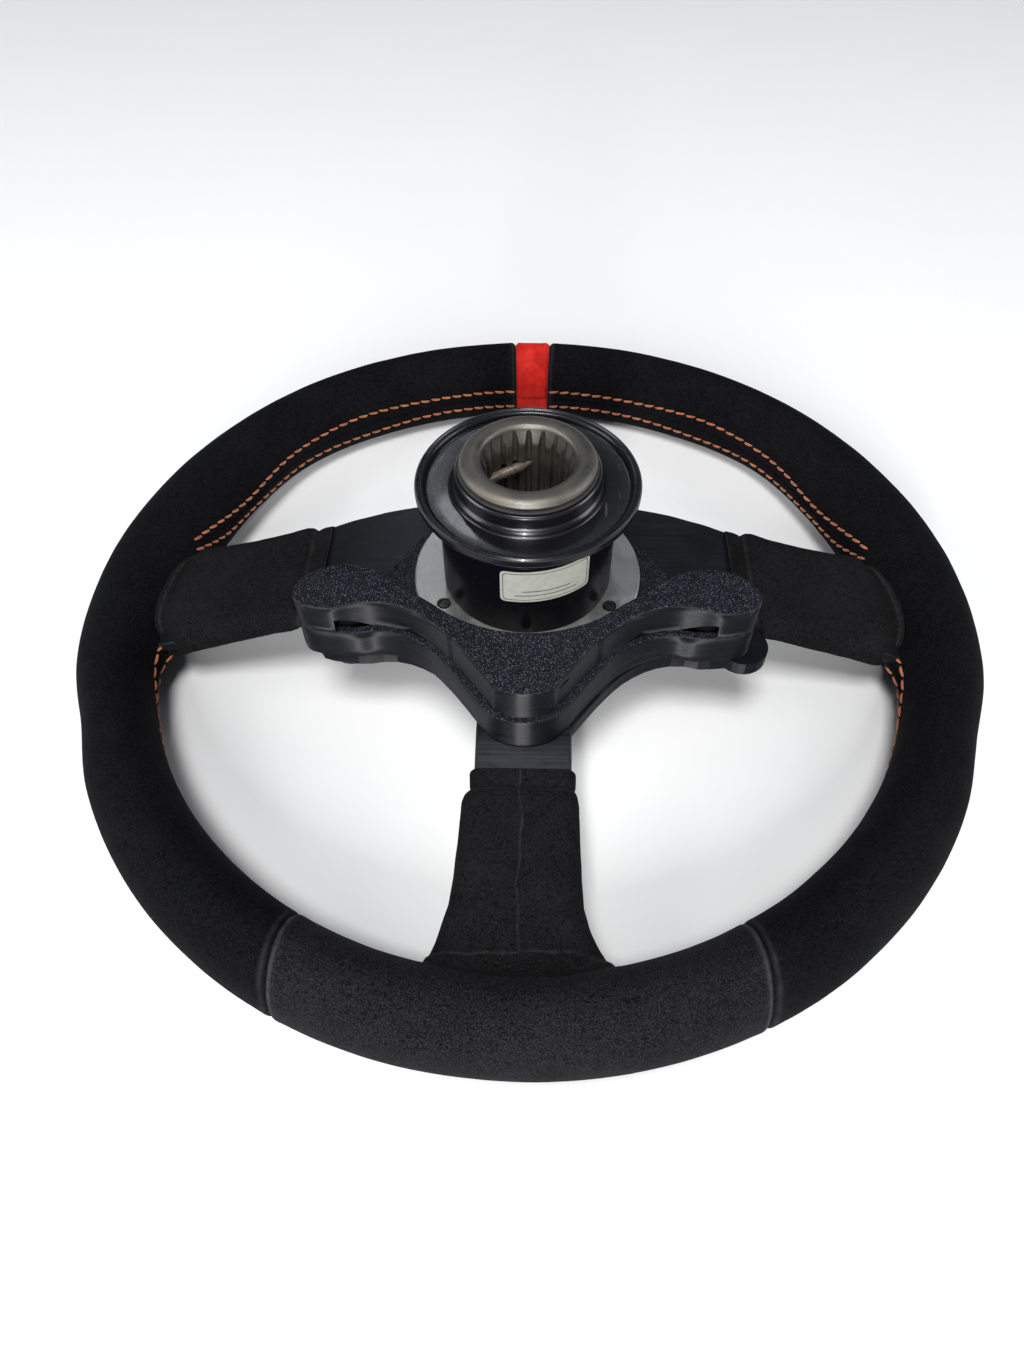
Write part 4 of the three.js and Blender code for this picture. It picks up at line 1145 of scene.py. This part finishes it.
spring = new_object("return_spring_coil", vertices, faces, SPRING, slot="spring_steel",
                    replaces=("return_spring",))
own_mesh(spring)

# Label on the body: a blank film with a ruled border and lines, and no lettering
CUP_R = 31.1
LABEL_MID = math.radians(-77)
LABEL_Z = 73.1
LABEL_TILT = 0.05
LABEL_HALF = (16.0, 7.3)


def label_piece(name, loops, low, high, material, edge=0.0):
    """A thin slab wrapped round the cup, between these two radii."""
    vertices, faces = slab(loops, low, high, edge, edge, pitch=2.0 if edge else None)
    r, along, z = vertices[:, 2], vertices[:, 0], vertices[:, 1]
    points = np.column_stack([polar(r, LABEL_MID + along / CUP_R), LABEL_Z + z + LABEL_TILT * along])
    return new_object(name, points, outward(points, faces), material, slot="label_white")


def rounded_rect(half_w, half_h, corner, spacing):
    corners = [(half_w, half_h), (-half_w, half_h), (-half_w, -half_h), (half_w, -half_h)]
    return even(rounded(corners, corner, 6), spacing)


film = label_piece("body_label_film", [rounded_rect(*LABEL_HALF, 1.8, 1.0)], CUP_R + 0.15,
                   CUP_R + 0.40, LABEL, 0.05)
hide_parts("body_label")
ink = {"border": [rounded_rect(LABEL_HALF[0] - g, LABEL_HALF[1] - g, 1.3, 0.8) for g in (0.9, 1.15)],
       "rule_1": [rounded_rect(8.5, 0.16, 0.1, 0.6) + (0, -2.2)],
       "rule_2": [rounded_rect(11.0, 0.16, 0.1, 0.6) + (0, -4.2)]}
for word, loops in ink.items():
    label_piece("body_label_" + word, loops, CUP_R + 0.39, CUP_R + 0.43, LABEL_INK)

# ------------------------------------------------------------------ CAD nodes that stay

KEPT = {  # node name start: material, bevel width in millimetres
    # The front cover takes the darker wall material on every face: painted shade where it shows beneath
    # the housing's lobes.
    "housing_front_cover": (PRINTED_WALL, 0.4), "housing_screw_": (BOLT, 0.35),
    "hub_bolt_": (DARK_BOLT, 0.3),
    "bolt_ring": (ANODISED, 0.5), "button_cap_": (BUTTON, 0.5), "button_bezel_": (SWITCH, 0.45),
    "switch_body_": (SWITCH, 0.4), "circuit_board": (BOARD, 0.1), "battery": (BATTERY, 0.9),
    "retaining_ring": (SPRING, 0.15), "rim_ring": (BOLT, 0), "rim_foam": (FOAM, 0)}
for name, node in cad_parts.items():
    for start, (material, bevel) in KEPT.items():
        if not name.startswith(start) or node.hide_render:
            continue
        for slot_at in node.material_slots:
            slot_at.material = material
        if bevel:
            flatten = node.modifiers.new("flatten", "DECIMATE")
            flatten.decimate_type, flatten.angle_limit = "DISSOLVE", math.radians(1)
            edge = node.modifiers.new("edge", "BEVEL")
            edge.width, edge.segments = bevel * MM, 3
            edge.limit_method, edge.angle_limit = "ANGLE", math.radians(40)
            edge.harden_normals = False

# ------------------------------------------------------------------ camera, light and floor

camera = bpy.data.cameras.new("camera")
camera.lens = 24.95
camera.sensor_width = 36
camera.clip_start, camera.clip_end = 0.01, 20
eye = bpy.data.objects.new("camera", camera)
forward = Vector((-0.02145, 0.60015, -0.7996)).normalized()
upward = Vector((-0.01690, 0.79945, 0.6005))
right = forward.cross(upward).normalized()
upward = right.cross(forward)
axes = Matrix((right, upward, -forward)).transposed().to_4x4()
eye.matrix_world = Matrix.Translation((0.0026, -0.24856, 0.30861)) @ axes
bpy.context.scene.collection.objects.link(eye)
bpy.context.scene.camera = eye


def area_light(name, place, size, power, color=(1, 1, 1)):
    """A rectangular light in metres, aimed at the middle of the wheel."""
    data = bpy.data.lights.new(name, "AREA")
    data.shape, data.size, data.size_y = "RECTANGLE", size[0], size[1]
    data.energy, data.color = power, color
    obj = bpy.data.objects.new(name, data)
    obj.location = place
    obj.rotation_mode = "QUATERNION"
    obj.rotation_quaternion = (Vector((0, 0, 0.05)) - Vector(place)).to_track_quat("-Z", "Y")
    bpy.context.scene.collection.objects.link(obj)


area_light("key", (-0.15, -0.75, 1.95), (0.6, 0.6), 31)
area_light("back", (-0.17, 1.2, 1.27), (0.16, 0.14), 0.9, (0.9, 0.95, 1))
area_light("front_strip", (-0.1, -1.6, 0.7), (0.07, 0.9), 27)
area_light("side_left", (-1.9, -0.2, 1.2), (1.0, 1.0), 18)
area_light("side_right", (1.9, 0.2, 1.2), (1.0, 1.0), 14)

floor_shader = Shader("floor_pale", (0.86, 0.86, 0.86), 0.8)
floor_tone = floor_shader.noise(9, 3, 0.5)
floor_shader.set("Base Color", floor_shader.mix(floor_tone, (0.82, 0.82, 0.82), (0.85, 0.85, 0.85)))
FLOOR_Z = -0.6
FLOOR_POINTS = 24  # along each side
side_points = np.linspace(-3000, 3000, FLOOR_POINTS)
floor_points = np.array([(x, y, FLOOR_Z) for y in side_points for x in side_points])
floor_mesh = bpy.data.meshes.new("floor")
floor_mesh.from_pydata((floor_points * MM).tolist(), [], grid_faces(FLOOR_POINTS, FLOOR_POINTS))
floor_mesh.materials.append(floor_shader.material)
floor = bpy.data.objects.new("floor", floor_mesh)
bpy.context.scene.collection.objects.link(floor)

world = bpy.data.worlds.new("studio")
bpy.context.scene.world = world
world.use_nodes = True
backdrop = world.node_tree.nodes["Background"]
backdrop.inputs["Color"].default_value = (0.8, 0.88, 1, 1)
backdrop.inputs["Strength"].default_value = 0.12
bpy.context.scene.view_settings.view_transform = "Standard"
